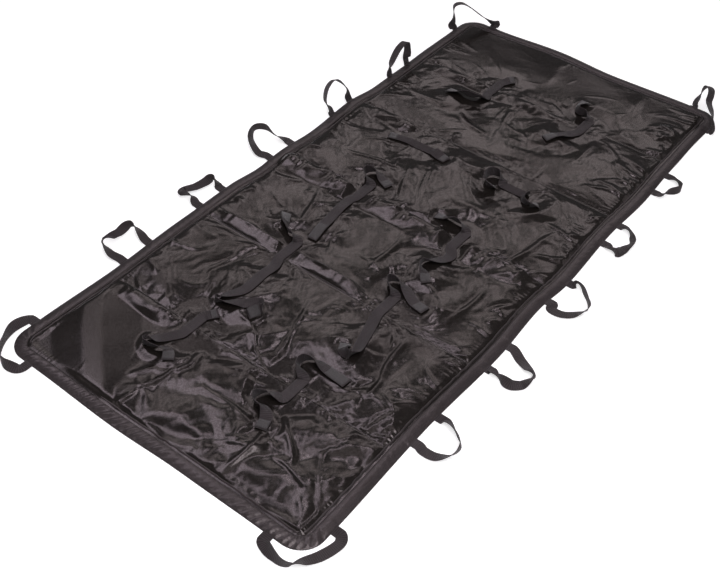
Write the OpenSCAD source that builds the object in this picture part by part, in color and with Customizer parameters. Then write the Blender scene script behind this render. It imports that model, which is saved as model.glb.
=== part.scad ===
// Soft rescue stretcher: a bound carry sheet with fourteen webbing handles and ten pairs of patient straps.
// The sheet lies flat on the ground: length along X, head end at +X, underside at Z = 0.

/* [Sheet] */
// Length over the bound edges
sheet_len = 1920; // [1840:10:2100]
// Width over the bound edges
sheet_w = 900; // [860:10:1000]
// Radius of the four outer corners
corner_r = 60; // [45:1:70]
// Thickness of the coated base fabric
base_t = 1.2; // [0.8:0.1:2]
// Distance of the two fold seams from the middle
fold_x = 336; // [334:1:345]
// Distance of the two outer cross seams from the middle
outer_seam_x = 645; // [635:1:660]
// Open gap between two panels at a fold seam
fold_gap = 0.6; // [0.4:0.1:1.5]

/* [Edge binding] */
// Width of the folded hem band
hem_w = 38; // [30:1:44]
// Height of the hem band above the base fabric
hem_h = 4.2; // [3.4:0.1:6]
// Height of the raised tape along the hem
tape_h = 1.3; // [0.5:0.1:2.5]
// Distance of the raised tape from both sides of the hem
tape_inset = 6; // [3:0.5:10]

/* [Top cover] */
// Thickness of the cover where it is sewn down
cover_t = 1.5; // [1:0.1:2.5]
// Swell of the cover between two seams
crown_h = 7; // [3:0.5:9]
// Height of the slack folds that cross a section
fold_h = 2.2; // [0:0.1:3]
// Distance from one slack fold to the next
fold_pitch = 150; // [110:5:220]
// Height of the pleats along the cross seams
pleat_h = 8; // [0:0.5:10]
// Half width of a pleat
pleat_w = 16; // [12:1:20]
// Distance of a pleat from its seam
pleat_off = 24; // [18:1:32]
// Radius of the flat spot round a strap anchor
spot_r = 62; // [58:1:75]
// Width over which a flat spot rises to the slack cover
spot_rise = 60; // [40:5:90]

/* [Carrying webbing] */
// Width of the webbing
web_w = 25; // [20:1:28]
// Thickness of the webbing
web_t = 1.8; // [1.4:0.1:2.2]
// Distance from one side handle to the next
handle_pitch = 275; // [270:1:276]
// Width of a side handle over its two legs
handle_w = 114; // [100:1:118]
// Nominal reach of a handle loop from the edge
handle_reach = 100; // [80:5:130]
// Distance of a corner handle's legs from the corner, along each edge
corner_leg = 92; // [85:1:105]
// Length of a corner tab sewn under the hem and cover
tab_len = 72; // [50:1:90]

/* [Patient straps] */
// Width of a strap
strap_w = 28; // [22:1:30]
// Thickness of a strap
strap_t = 1.4; // [1:0.1:1.8]
// Extra thickness of the pad at a strap's end
pad_t = 1.2; // [0.5:0.1:1.6]
// Length of a sewn anchor
anchor_len = 38; // [32:1:42]
// Distance of the anchors from the centre line
strap_y = 155; // [145:1:170]
// Distance of the foot side anchors from their fold seam
foot_inset = 31; // [29:1:40]
// Distance of the head side anchors from their fold seam
head_inset = 71; // [64:1:80]

/* [Clearances] */
// Gap between two sewn pieces
sew_gap = 0.2; // [0.1:0.05:0.4]
// Gap at the root of a handle or strap, which lets it swing
root_gap = 0.6; // [0.5:0.05:0.8]
// Gap at the root of a corner handle, which swings across the corner
corner_gap = 3; // [2.5:0.1:4]
// Gap between a strap and the cover under it
rest_gap = 1.2; // [0.8:0.1:2]

/* [Hidden] */
$fn = 64;
SHEET_BLACK = "#2a2627";
COVER_BLACK = "#3a3435";
WEB_GREY = "#4a4347";
web_z = base_t;
cover_z = base_t + web_t;
spot_z = cover_z + cover_t;
hem_z = base_t + hem_h;
inner_w = sheet_w - 2 * hem_w;
inner_len = sheet_len - 2 * hem_w;
inner_r = max(corner_r - hem_w, sew_gap);
leg_half = (handle_w - web_w) / 2;
corner_half = corner_leg / sqrt(2);
root_out = root_gap + web_t / 2;
anchor_h = 2 * rest_gap + strap_t;
route_steps = 3;
web_lead = web_w / 2 + root_gap;
strap_lead = strap_w / 2 + root_gap;
seams = [-inner_len / 2, -outer_seam_x, -fold_x, 0, fold_x, outer_seam_x, inner_len / 2];
cover_nx = 16;
cover_ny = 30;
// Lean of the slack folds in odd and even sections, and the share and rate of the waves across them
fold_leans = [0.6, -0.45];
cross_share = 0.6;
cross_rate = 5 / 9;
// How late the swell falls off towards the cross seams and towards the hem
seam_fall = 3;
hem_fall = 8;

// Where each pleat lies: seam number, side of the seam, and the stretch of Y that it covers
pleats = [[1, -1, 175, 400], [2, 1, -110, 400], [3, -1, -390, 330], [4, -1, 190, 400], [5, -1, -60, 390]];

// Anchors: place, and the turn of the sewn patch about Z
anchors = [
    [-outer_seam_x, strap_y, 0],
    [-outer_seam_x, -strap_y, 0],
    [-fold_x + foot_inset, strap_y, 0],
    [-fold_x + foot_inset, -strap_y, 0],
    [0, strap_y, 0],
    [0, -strap_y, 0],
    [fold_x - head_inset, strap_y, 90],
    [fold_x - head_inset, -strap_y, 90],
    [outer_seam_x, strap_y, 0],
    [outer_seam_x, -strap_y, 0],
];

// Straps: anchor number, end of the anchor, and the route as [along X, along Y, lift, roll]
straps = [
    [0, -1, [[-25, 15, 0, 0], [-60, 34, 2, 15], [-84, 38, 3, 90], [-82, 13, 3, 115], [-66, -20, 2, 150],
        [-86, -40, 1, 180]]],
    [0, 1, [[12, -7, 1, 0], [30, -20, 1, 8]]],
    [1, -1, [[-8, 12, 3, 20], [-20, 34, 4, 60], [-40, 46, 4, 90], [-56, 36, 3, 105],
        [-54, 8, 3, 140], [-70, -12, 1, 175], [-100, -22, 0, 180]]],
    [1, 1, [[9, 16, 2, 35], [20, 34, 2, 75], [40, 34, 2, 95], [52, 12, 2, 125], [52, -22, 1, 170],
        [48, -84, 0, 180]]],
    [2, -1, [[-38, -14, 2, 0], [-84, -14, 1, 0], [-150, -20, 1, 0], [-200, 2, 2, 30], [-222, 8, 3, 90],
        [-212, -16, 3, 140], [-186, -50, 1, 180], [-168, -82, 2, 215], [-178, -102, 3, 270],
        [-208, -84, 1, 345]]],
    [2, 1, [[9, 14, 3, 40], [12, 42, 3, 75], [28, 64, 3, 55], [64, 92, 1, 15]]],
    [3, -1, [[-51, -16, 1, 0], [-111, -36, 1, 10], [-147, -48, 2, 35], [-165, -44, 3, 90],
        [-159, -22, 3, 140], [-133, -10, 1, 180]]],
    [3, 1, [[10, 16, 3, 45], [18, 38, 3, 80], [34, 40, 3, 95], [40, 16, 3, 122], [28, -16, 2, 165],
        [12, -48, 1, 178], [4, -86, 0, 180]]],
    [4, -1, [[-21, 6, 1, 0], [-81, -2, 1, 0], [-141, -12, 0, 0], [-203, -18, 0, 0]]],
    [4, 1, [[9, 16, 3, 45], [17, 36, 3, 75], [34, 38, 3, 95], [44, 16, 3, 125], [34, -14, 2, 170],
        [24, -44, 1, 180]]],
    [5, -1, [[-30, -20, 1, 0], [-70, -12, 2, 10], [-104, 6, 3, 50], [-124, 6, 3, 100],
        [-138, -12, 3, 150], [-156, -34, 1, 180]]],
    [5, 1, [[10, 16, 3, 45], [13, 42, 3, 65], [8, 70, 1, 25], [5, 100, 0, 0]]],
    [6, 1, [[-4, 14, 1, 5], [-10, 38, 1, 5], [-18, 66, 0, 0]]],
    [6, -1, [[-4, -16, 2, 20], [-10, -39, 2, 15], [-15, -64, 0, 0]]],
    [7, 1, [[8, 8, 3, 50], [20, 27, 3, 80], [10, 48, 3, 95], [-16, 50, 3, 100], [-34, 32, 2, 120],
        [-30, 6, 1, 150]]],
    [7, -1, [[-10, -5, 3, 50], [-32, -13, 4, 80], [-40, -31, 2, 120], [-24, -57, 0, 170]]],
    [8, -1, [[-26, -8, 1, 0], [-56, 4, 3, 50], [-70, 30, 3, 70], [-74, 62, 1, 30], [-72, 98, 0, 5]]],
    [8, 1, [[11, -5, 1, 0], [26, -15, 2, 12], [40, -28, 1, 5]]],
    [9, -1, [[-28, 14, 2, 0], [-62, 32, 3, 15], [-100, 54, 1, 0]]],
    [9, 1, [[9, 18, 4, 65], [8, 42, 4, 90], [26, 54, 3, 125], [70, 52, 0, 180]]],
];
strap_names = [
    "foot_left_rear", "foot_left_front", "foot_right_rear", "foot_right_front",
    "thigh_left_rear", "thigh_left_front", "thigh_right_rear", "thigh_right_front",
    "waist_left_rear", "waist_left_front", "waist_right_rear", "waist_right_front",
    "chest_left_outer", "chest_left_inner", "chest_right_inner", "chest_right_outer",
    "head_left_rear", "head_left_front", "head_right_rear", "head_right_front",
];

// Handles: tilt, the route between the legs as [share of half spacing, share of reach, lift, roll], last roll.
// Side handles run from the foot side leg to the head side leg, corner handles from the long edge
// to the short one.
left_loops = [
    [12, [[-1.15, 0.42, 0, 15], [-1, 0.76, 1, 90], [-0.3, 0.8, 0, 170], [0.3, 0.76, 0, 185],
        [1.05, 0.68, 1, 270], [1.1, 0.36, 0, 340]], 360],
    [8, [[-0.85, 0.33, 0, 40], [-1.1, 0.6, 2, 100], [-0.75, 0.7, 0, 165], [0, 0.58, 0, 180],
        [0.7, 0.5, 0, 200], [1.12, 0.4, 2, 280], [1.05, 0.2, 0, 330]], 360],
    [10, [[-1.2, 0.4, 0, 5], [-0.7, 0.86, 0, 40], [0.1, 1.02, 3, 90], [0.62, 0.82, 4, 100],
        [0.6, 0.44, 3, 130], [0.95, 0.2, 0, 175]], 180],
    [58, [[-1.15, 0.22, 0, 30], [-1.25, 0.5, 0, 65], [-0.6, 0.76, 0, 85], [0.35, 0.8, 0, 95],
        [1, 0.42, 0, 130]], 180],
    [78, [[-1.15, 0.24, 0, 20], [-0.9, 0.44, 0, 75], [-0.15, 0.68, 0, 90], [0.55, 0.78, 0, 90],
        [1, 0.74, 0, 90], [1, 0.5, 0, 85], [0.9, 0.27, 0, 40]], 0],
];
right_loops = [
    [0, [[-1.12, 0.3, 0, 0], [-1.05, 0.6, 0, 10], [-0.6, 0.86, 1, 60], [0.1, 0.86, 2, 100],
        [0.55, 0.6, 3, 105], [0.95, 0.28, 1, 150]], 180],
    [0, [[-1.25, 0.22, 1, 40], [-1.35, 0.44, 2, 90], [-1.3, 0.68, 1, 150], [-0.8, 0.88, 1, 185],
        [-0.25, 0.96, 2, 250], [0.1, 0.82, 1, 330], [0.6, 0.42, 0, 360]], 360],
    [0, [[-1.4, 0.22, 0, 0], [-1.4, 0.5, 0, 5], [-1, 0.74, 0, 15], [-0.4, 0.9, 2, 70],
        [0.1, 0.76, 3, 95], [0.7, 0.46, 4, 95], [1.1, 0.2, 2, 135]], 180],
    [0, [[-1.35, 0.28, 0, 30], [-1.5, 0.5, 2, 110], [-0.85, 0.54, 1, 175], [-0.15, 0.64, 2, 235],
        [0.35, 0.46, 3, 270], [0.85, 0.26, 0, 330]], 360],
    [0, [[-1.1, 0.25, 0, 20], [-0.75, 0.38, 2, 75], [-0.35, 0.54, 3, 95], [0.1, 0.6, 3, 90],
        [0.45, 0.44, 2, 110], [0.85, 0.27, 0, 165]], 180],
];
corner_loops = [
    [0, [[-0.98, 0.3, 0, 30], [-0.62, 0.48, 1, 65], [-0.1, 0.6, 2, 90], [0.5, 0.66, 2, 90],
        [1, 0.54, 1, 105], [1.22, 0.28, 0, 160]], 180],
    [0, [[-1.08, 0.34, 0, 8], [-0.5, 0.56, 0, 3], [0.06, 0.68, 0, 22], [0.44, 0.77, 2, 72],
        [0.72, 0.7, 2, 97], [0.94, 0.52, 2, 122], [1.1, 0.31, 0, 160]], 180],
    [76, [[-1.12, 0.42, 0, 60], [-1.12, 0.78, 0, 90], [-0.74, 0.87, 0, 95], [-0.3, 0.74, 0, 90],
        [0.3, 0.46, 0, 90], [0.85, 0.24, 0, 60]], 0],
    [62, [[-0.92, 0.32, 0, 40], [-0.4, 0.46, 0, 85], [0.14, 0.54, 0, 92], [0.36, 0.7, 0, 95],
        [0.62, 0.8, 0, 98], [0.98, 0.76, 0, 100], [1.12, 0.6, 0, 125], [1.12, 0.32, 0, 165]], 180],
];
corner_names = ["foot_left_corner", "foot_right_corner", "head_left_corner", "head_right_corner"];
corner_signs = [[-1, 1], [-1, -1], [1, 1], [1, -1]];

function unit(v) = v / norm(v);
function mix(a, b, t) = a + (b - a) * t;
function step_up(t) = let (c = min(max(t, 0), 1)) c * c * (3 - 2 * c);

// Smooth curve through four neighbouring points, from the second to the third
function curve(a, b, c, d, t) =
    b + 0.5 * t * (c - a + t * (2 * a - 5 * b + 4 * c - d + t * (3 * (b - c) + d - a)));
// Route with straight leads: always at its start, and at its end too when tail is 1
function smooth_route(p, tail) = [
    p[0],
    for (i = [1:len(p) - 2 - tail])
        for (k = [0:route_steps - 1])
            curve(p[i - 1], p[i], p[i + 1], p[min(i + 2, len(p) - 1)], k / route_steps),
    for (i = [len(p) - 1 - tail:len(p) - 1])
        p[i]
];

// Height of the slack cover at a point
function section_of(x) = min(max(len([for (s = seams) if (s <= x) s]) - 1, 0), len(seams) - 2);
function swell(t, sharp) = 1 - pow(min(abs(2 * t - 1), 1), sharp);
function slack(x, y) =
    let (i = section_of(x))
    let (u = (x - seams[i]) / (seams[i + 1] - seams[i]))
    let (v = (y / inner_w) + 0.5)
    let (lean = fold_leans[i % 2])
    let (along = sin(360 * (x + lean * y) / fold_pitch))
    let (across = sin(360 * cross_rate * (lean * x - y) / fold_pitch))
    swell(u, seam_fall) * swell(v, hem_fall) * (crown_h + fold_h * (along + cross_share * across));
function pleat(x, y) = max([
    for (p = pleats)
        let (d = (x - seams[p[0]] - p[1] * pleat_off) / pleat_w)
        let (ends = step_up((y - p[2]) / spot_rise) * step_up((p[3] - y) / spot_rise))
        abs(d) < 1 && section_of(x) == p[0] - (p[1] < 0 ? 1 : 0) ? pleat_h * (1 - d * d) * ends : 0
]);
function calm(x, y) = min([for (a = anchors) step_up((norm([x - a[0], y - a[1]]) - spot_r) / spot_rise)]);
function cover_top(x, y) = spot_z + calm(x, y) * (slack(x, y) + pleat(x, y));

// Half width of the cover at a place along its length, narrower inside the rounded corners
function cover_half(x) =
    let (d = min(max(inner_len / 2 - abs(x), 0), inner_r))
    inner_w / 2 - sew_gap - inner_r + sqrt(inner_r * inner_r - (inner_r - d) * (inner_r - d));

// Frames along a strip: place, width direction and face direction, from points of [x, y, z, roll].
// The straight leads keep the direction of their first or last two points.
function strip_frames(p, tail) = [
    for (i = [0:len(p) - 1])
        let (a = p[i < 2 ? 0 : tail == 1 && i == len(p) - 2 ? i : i - 1])
        let (b = p[i < 2 ? 1 : min(i + 1, len(p) - 1)])
        let (t = unit([b[0] - a[0], b[1] - a[1], b[2] - a[2]]))
        let (side = unit(cross([0, 0, 1], t)))
        let (up = cross(t, side))
        [[p[i][0], p[i][1], p[i][2]],
         side * cos(p[i][3]) + up * sin(p[i][3]),
         up * cos(p[i][3]) - side * sin(p[i][3])]
];
function ring(f, w, t, extra) = [
    f[0] - f[1] * w / 2 - f[2] * t / 2,
    f[0] + f[1] * w / 2 - f[2] * t / 2,
    f[0] + f[1] * w / 2 + f[2] * (t / 2 + extra),
    f[0] - f[1] * w / 2 + f[2] * (t / 2 + extra)
];

// Closed strip of webbing through its frames, thickened over the last pad_rings frames
module strip(frames, w, t, pad, pad_rings) {
    n = len(frames);
    points = [
        for (i = [0:n - 1])
            each ring(frames[i], w, t, i >= n - pad_rings ? pad : 0)
    ];
    walls = [
        for (i = [0:n - 2])
            for (j = [0:3])
                let (a = 4 * i + j)
                let (b = 4 * i + (j + 1) % 4)
                each j < 2 ? [[a, b + 4, b], [a, a + 4, b + 4]] : [[a, a + 4, b], [b, a + 4, b + 4]]
    ];
    first = [[0, 1, 2], [0, 2, 3]];
    m = 4 * n - 4;
    last = [[m, m + 2, m + 1], [m, m + 3, m + 2]];
    polyhedron(points, concat(walls, first, last));
}

module rounded_sheet(l, w, r) {
    square([l - 2 * r, w], center = true);
    square([l, w - 2 * r], center = true);
    for (x = [-1, 1])
        for (y = [-1, 1])
            translate([x * (l / 2 - r), y * (w / 2 - r)]) circle(r);
}

// Stretch of the plan between two places along X, at one side or over the full width
module plan_band(x0, x1, side) {
    y0 = side < 0 ? -sheet_w : side > 0 ? 0 : -sheet_w;
    y1 = side < 0 ? 0 : sheet_w;
    translate([x0, y0]) square([x1 - x0, y1 - y0]);
}
function third(i) = [
    [-sheet_len, -fold_x - fold_gap / 2],
    [-fold_x + fold_gap / 2, fold_x - fold_gap / 2],
    [fold_x + fold_gap / 2, sheet_len]
][i];

module base_panel(i) {
    color(SHEET_BLACK)
        linear_extrude(base_t)
            intersection() {
                rounded_sheet(sheet_len, sheet_w, corner_r);
                plan_band(third(i)[0], third(i)[1], 0);
            }
}

// Plan of every run of webbing that passes under the hem, wider by a gap
module web_plan(grow) {
    for (i = [-2:2])
        for (leg = [-1, 1])
            translate([i * handle_pitch + leg * leg_half, 0])
                square([web_w + 2 * grow, sheet_w + 2 * grow], center = true);
    for (x = [-1, 1])
        for (y = [-1, 1])
            corner_tab_plan(x, y, grow);
}

module corner_tab_plan(x, y, grow) {
    translate([x * (sheet_len / 2 - corner_leg), y * (sheet_w - tab_len) / 2])
        square([web_w + 2 * grow, tab_len + 2 * grow], center = true);
    translate([x * (sheet_len - tab_len) / 2, y * (sheet_w / 2 - corner_leg)])
        square([tab_len + 2 * grow, web_w + 2 * grow], center = true);
}

module hem_plan(inset, i, side) {
    intersection() {
        difference() {
            rounded_sheet(sheet_len - 2 * inset, sheet_w - 2 * inset, corner_r - inset);
            rounded_sheet(inner_len + 2 * inset, inner_w + 2 * inset, inner_r + inset);
        }
        plan_band(third(i)[0], third(i)[1], side);
    }
}

// Hem band with tunnels for the webbing and a raised tape along it
module binding(i, side) {
    color(SHEET_BLACK) {
        difference() {
            translate([0, 0, base_t]) linear_extrude(hem_h) hem_plan(0, i, side);
            translate([0, 0, base_t - sew_gap]) linear_extrude(web_t + 2 * sew_gap) web_plan(sew_gap);
        }
        translate([0, 0, hem_z]) linear_extrude(tape_h) hem_plan(tape_inset, i, side);
    }
}

// Section of the slack cover: a grid over its top, straight sides and a flat underside
module cover_section(i) {
    foot_cut = i == 2 || i == 4 ? fold_gap / 2 : sew_gap / 2;
    head_cut = i == 1 || i == 3 ? fold_gap / 2 : sew_gap / 2;
    x0 = seams[i] + foot_cut;
    x1 = seams[i + 1] - head_cut;
    xs = [for (k = [0:cover_nx]) mix(x0, x1, (1 - cos(180 * k / cover_nx)) / 2)];
    row = cover_ny + 1;
    top = [
        for (x = xs)
            for (k = [0:cover_ny])
                let (y = cover_half(x) * (2 * k / cover_ny - 1))
                [x, y, cover_top(x, y)]
    ];
    rim = concat(
        [for (k = [0:cover_ny]) k],
        [for (m = [1:cover_nx]) m * row + cover_ny],
        [for (k = [1:cover_ny]) cover_nx * row + cover_ny - k],
        [for (m = [1:cover_nx - 1]) (cover_nx - m) * row]
    );
    count = len(rim);
    low = len(top);
    under = [for (r = rim) [top[r][0], top[r][1], cover_z]];
    centre = low + count;
    quads = [
        for (m = [0:cover_nx - 1])
            for (k = [0:cover_ny - 1])
                let (a = m * row + k)
                each [[a, a + 1, a + row + 1], [a, a + row + 1, a + row]]
    ];
    walls = [
        for (j = [0:count - 1])
            let (n = (j + 1) % count)
            each [[rim[j], low + n, rim[n]], [rim[j], low + j, low + n]]
    ];
    floor_faces = [for (j = [0:count - 1]) [centre, low + (j + 1) % count, low + j]];
    color(COVER_BLACK)
        polyhedron(concat(top, under, [[(x0 + x1) / 2, 0, cover_z]]), concat(quads, walls, floor_faces));
}

module carry_webbing(i) {
    color(WEB_GREY)
        for (leg = [-1, 1])
            translate([(i - 3) * handle_pitch + leg * leg_half, 0, web_z])
                linear_extrude(web_t) square([web_w, sheet_w], center = true);
}

module corner_tabs(x) {
    color(WEB_GREY)
        translate([0, 0, web_z])
            linear_extrude(web_t)
                for (y = [-1, 1])
                    corner_tab_plan(x, y, 0);
}

module strap_anchors(first, count) {
    color(WEB_GREY)
        for (i = [first:first + count - 1])
            translate([anchors[i][0], anchors[i][1], spot_z])
                rotate([0, 0, anchors[i][2]])
                    translate([-anchor_len / 2, -strap_w / 2, 0])
                        cube([anchor_len, strap_w, anchor_h]);
}

// Loop of webbing between two legs, in the frame of its edge: X along the edge and Y outwards
module handle_loop(loop, half, gap, splay) {
    foot = [-half, 0] + gap * [-sin(splay), cos(splay)];
    head = [half, 0] + gap * [sin(splay), cos(splay)];
    foot_lead = foot + web_lead * [-sin(splay), cos(splay)];
    head_lead = head + web_lead * [sin(splay), cos(splay)];
    middle = [for (p = loop[1]) [p[0] * half, p[1] * handle_reach, p[2], p[3]]];
    route = concat(
        [[foot[0], foot[1], 0, 0], [foot_lead[0], foot_lead[1], 0, 0]],
        middle,
        [[head_lead[0], head_lead[1], 0, loop[2]], [head[0], head[1], 0, loop[2]]]
    );
    raised = [
        for (p = smooth_route(route, 1))
            [p[0], p[1], max(p[2], 0) + (web_w - web_t) / 2 * abs(sin(p[3])), p[3]]
    ];
    pivot = splay == 0 ? root_out : foot[1];
    color(WEB_GREY)
        translate([0, pivot, web_z + web_t / 2])
            rotate([loop[0], 0, 0])
                translate([0, -pivot, 0])
                    strip(strip_frames(raised, 1), web_w, web_t, 0, 0);
}

module side_handle(i, side) {
    mirror([0, side < 0 ? 1 : 0, 0])
        translate([(i - 3) * handle_pitch, sheet_w / 2, 0])
            handle_loop(side > 0 ? left_loops[i - 1] : right_loops[i - 1], leg_half, root_gap, 0);
}

module corner_handle(i) {
    mirror([corner_signs[i][0] < 0 ? 1 : 0, 0, 0])
        mirror([0, corner_signs[i][1] < 0 ? 1 : 0, 0])
            translate([(sheet_len - corner_leg) / 2, (sheet_w - corner_leg) / 2, 0])
                rotate([0, 0, -45])
                    handle_loop(corner_loops[i], corner_half, corner_gap, 45);
}

// Loose strap from one end of its anchor, lying on the cover
module strap(i) {
    a = anchors[straps[i][0]];
    way = straps[i][1] * [cos(a[2]), sin(a[2])];
    end = [a[0], a[1]] + way * (anchor_len / 2 + root_gap);
    start = end + way * strap_lead;
    route = concat(
        [[end[0], end[1], 0, 0], [start[0], start[1], 0, 0]],
        [for (p = straps[i][2]) [start[0] + p[0], start[1] + p[1], p[2], p[3]]]
    );
    flat_route = smooth_route(route, 0);
    frames = strip_frames([for (p = flat_route) [p[0], p[1], 0, p[3]]], 0);
    raised = [
        for (k = [0:len(flat_route) - 1])
            let (p = flat_route[k])
            let (reach = frames[k][1] * strap_w / 2)
            let (ground = max([for (s = [-1, 0, 1]) cover_top(p[0] + s * reach[0], p[1] + s * reach[1])]))
            let (rise = (strap_w - strap_t) / 2 * abs(sin(p[3])))
            [p[0], p[1], ground + rest_gap + strap_t / 2 + rise + max(p[2], 0), p[3]]
    ];
    color(WEB_GREY) strip(strip_frames(raised, 0), strap_w, strap_t, pad_t, route_steps + 1);
}

base_panel(0);  // foot_base_sheet
base_panel(1);  // middle_base_sheet
base_panel(2);  // head_base_sheet
for (i = [1:6])
    cover_section(i - 1);
binding(0, 0);  // foot_binding
binding(1, 1);  // left_binding
binding(1, -1);  // right_binding
binding(2, 0);  // head_binding
for (i = [1:5])
    carry_webbing(i);
corner_tabs(-1);  // foot_corner_tabs
corner_tabs(1);  // head_corner_tabs
strap_anchors(0, 2);  // foot_strap_anchors
strap_anchors(2, 6);  // middle_strap_anchors
strap_anchors(8, 2);  // head_strap_anchors
for (i = [1:5])
    side_handle(i, 1);
for (i = [1:5])
    side_handle(i, -1);
for (i = [0:3])
    corner_handle(i);
for (i = [0:19])
    strap(i);
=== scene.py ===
# %% [markdown]
# # A soft rescue stretcher
# The real object is a carry sheet: a coated base fabric, a slack shiny nylon cover, a folded hem all round, fourteen
# webbing loops to carry it by and ten pairs of loose straps for the patient. The solids give every place and size,
# so this lesson only gives each soft piece its true surface. The scene is in metres, in the frame of the solids.

# %% Load the frame
import math

import bpy
import numpy as np
from mathutils import Matrix, Vector
from mathutils.bvhtree import BVHTree
from mathutils.kdtree import KDTree


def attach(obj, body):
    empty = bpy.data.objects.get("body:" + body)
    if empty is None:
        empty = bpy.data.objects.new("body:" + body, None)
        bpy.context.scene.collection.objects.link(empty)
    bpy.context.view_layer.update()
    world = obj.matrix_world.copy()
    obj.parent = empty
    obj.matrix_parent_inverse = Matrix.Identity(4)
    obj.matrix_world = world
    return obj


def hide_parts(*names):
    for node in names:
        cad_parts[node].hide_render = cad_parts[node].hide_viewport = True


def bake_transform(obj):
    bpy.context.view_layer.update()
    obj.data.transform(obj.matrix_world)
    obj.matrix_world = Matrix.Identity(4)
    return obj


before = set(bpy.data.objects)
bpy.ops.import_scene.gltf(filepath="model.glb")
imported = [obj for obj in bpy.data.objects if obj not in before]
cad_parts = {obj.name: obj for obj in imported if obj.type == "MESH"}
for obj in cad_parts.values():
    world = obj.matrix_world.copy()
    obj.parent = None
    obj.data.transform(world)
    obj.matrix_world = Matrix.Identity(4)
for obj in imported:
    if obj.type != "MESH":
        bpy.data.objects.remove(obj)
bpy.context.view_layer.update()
scene = bpy.context.scene

# %% [markdown]
# The sizes below are those of the solids, in millimetres, because cloth and webbing are thought of in millimetres.
# Only the helper that writes a mesh turns them into metres. Heights are measured from the floor: the webbing lies on
# the base, the cover on the webbing, and the two layers of a strap anchor on the cover.

# %% Sizes of the real pieces
MM = 0.001
SHEET_LEN, SHEET_W, CORNER_R = 1920, 900, 60
HEM_W, BASE_T, WEB_W, WEB_T = 38, 1.2, 25, 1.8
STRAP_W, STRAP_T, PAD_T, ANCHOR_LEN = 28, 1.4, 1.2, 38
ROOT_GAP, REST_GAP, CORNER_GAP = 0.6, 1.2, 3
FOLD_X, OUTER_SEAM_X, STRAP_Y = 336, 645, 155
HANDLE_PITCH, HANDLE_W, HANDLE_REACH, CORNER_LEG, TAB_LEN = 275, 114, 100, 92, 72
LEG_HALF = (HANDLE_W - WEB_W) / 2
INNER_W, INNER_LEN = SHEET_W - 2 * HEM_W, SHEET_LEN - 2 * HEM_W
WEB_MID = BASE_T + WEB_T / 2
COVER_Z = BASE_T + WEB_T
SPOT_Z = COVER_Z + 1.5
LOWER_LAYER_Z, UPPER_LAYER_Z = SPOT_Z + 0.55, SPOT_Z + 1.9
SEAMS = np.array([-INNER_LEN / 2, -OUTER_SEAM_X, -FOLD_X, 0, FOLD_X, OUTER_SEAM_X, INNER_LEN / 2])
CROSS_SEAMS = SEAMS[1:-1]


def panel_at(x):
    return "foot_panel" if x < -FOLD_X else "head_panel" if x > FOLD_X else "middle_panel"


def handle_x(i):
    return (i - 3) * HANDLE_PITCH


print("sheet", SHEET_LEN, "x", SHEET_W, "mm, seams at", CROSS_SEAMS.tolist())

# %% [markdown]
# The camera was solved from the four corners of the sheet: it stands at the foot end on the right, about 1.8 m up,
# and looks down by 44 degrees with a slightly long lens. It is set as a matrix, because its three directions were
# measured, and a matrix keeps the small roll that angles set by eye would lose.

# %% Camera
CAMERA_AT = (-1.7799, -1.1855, 1.792)
RIGHT, DOWN, FORWARD = (0.61793, -0.78595, 0.02119), (-0.53521, -0.44024, -0.72093), (0.57594, 0.43414, -0.69268)
SENSOR_W, FOCAL_PIXELS, PICTURE_W = 36, 1058.7, 720
camera_data = bpy.data.cameras.new("photo_camera")
camera = bpy.data.objects.new("photo_camera", camera_data)
scene.collection.objects.link(camera)
turn = Matrix((RIGHT, [-c for c in DOWN], [-c for c in FORWARD])).transposed()
camera.matrix_world = Matrix.Translation(CAMERA_AT) @ turn.to_4x4()
camera_data.sensor_width, camera_data.lens = SENSOR_W, SENSOR_W * FOCAL_PIXELS / PICTURE_W
scene.camera = camera
scene.view_settings.view_transform = "Standard"
print("lens", round(camera_data.lens, 1), "mm")

# %% [markdown]
# Nearly every piece starts as a plain grid from the Add menu, and its points are moved to where the cloth or webbing
# runs. A grid brings its own UV map, which here is stretched to millimetres, so that a weave keeps its true scale
# however the strip twists. Thickness comes from a Solidify modifier that is applied at once.

# %% Helpers for meshes
def pick(*pieces):
    bpy.ops.object.select_all(action="DESELECT")
    for piece in pieces:
        piece.select_set(True)
    if pieces:
        bpy.context.view_layer.objects.active = pieces[0]


def grid(name, along, across):
    pick()
    bpy.ops.mesh.primitive_grid_add(x_subdivisions=along, y_subdivisions=across, size=2)
    piece = bpy.context.object
    piece.name = piece.data.name = name
    return piece


def points(piece):
    flat = np.empty(3 * len(piece.data.vertices), np.float32)
    piece.data.vertices.foreach_get("co", flat)
    return flat.reshape(-1, 3).astype(float)


def shares(piece):
    co = points(piece)
    return (co[:, 0] + 1) / 2, (co[:, 1] + 1) / 2


def place(piece, xyz):
    piece.data.vertices.foreach_set("co", (np.asarray(xyz) * MM).astype(np.float32).ravel())
    piece.data.update()


def stretch_uv(piece, long, wide):
    layer = piece.data.uv_layers.active.data
    flat = np.empty(2 * len(layer), np.float32)
    layer.foreach_get("uv", flat)
    layer.foreach_set("uv", (flat.reshape(-1, 2) * (long, wide)).astype(np.float32).ravel())


def finish(piece, kind, **settings):
    pick(piece)
    modifier = piece.modifiers.new(kind.lower(), kind)
    for key, value in settings.items():
        setattr(modifier, key, value)
    bpy.ops.object.modifier_apply(modifier=modifier.name)
    return piece


def smooth(piece):
    piece.data.polygons.foreach_set("use_smooth", [True] * len(piece.data.polygons))


def dress(piece, material):
    piece.data.materials.clear()
    piece.data.materials.append(material)


def step_up(t):
    t = np.clip(t, 0, 1)
    return t * t * (3 - 2 * t)


print("a soft step at 0, 1/4, 1/2 and 1:", step_up(np.array([0, 0.25, 0.5, 1])).round(2).tolist())

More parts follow.
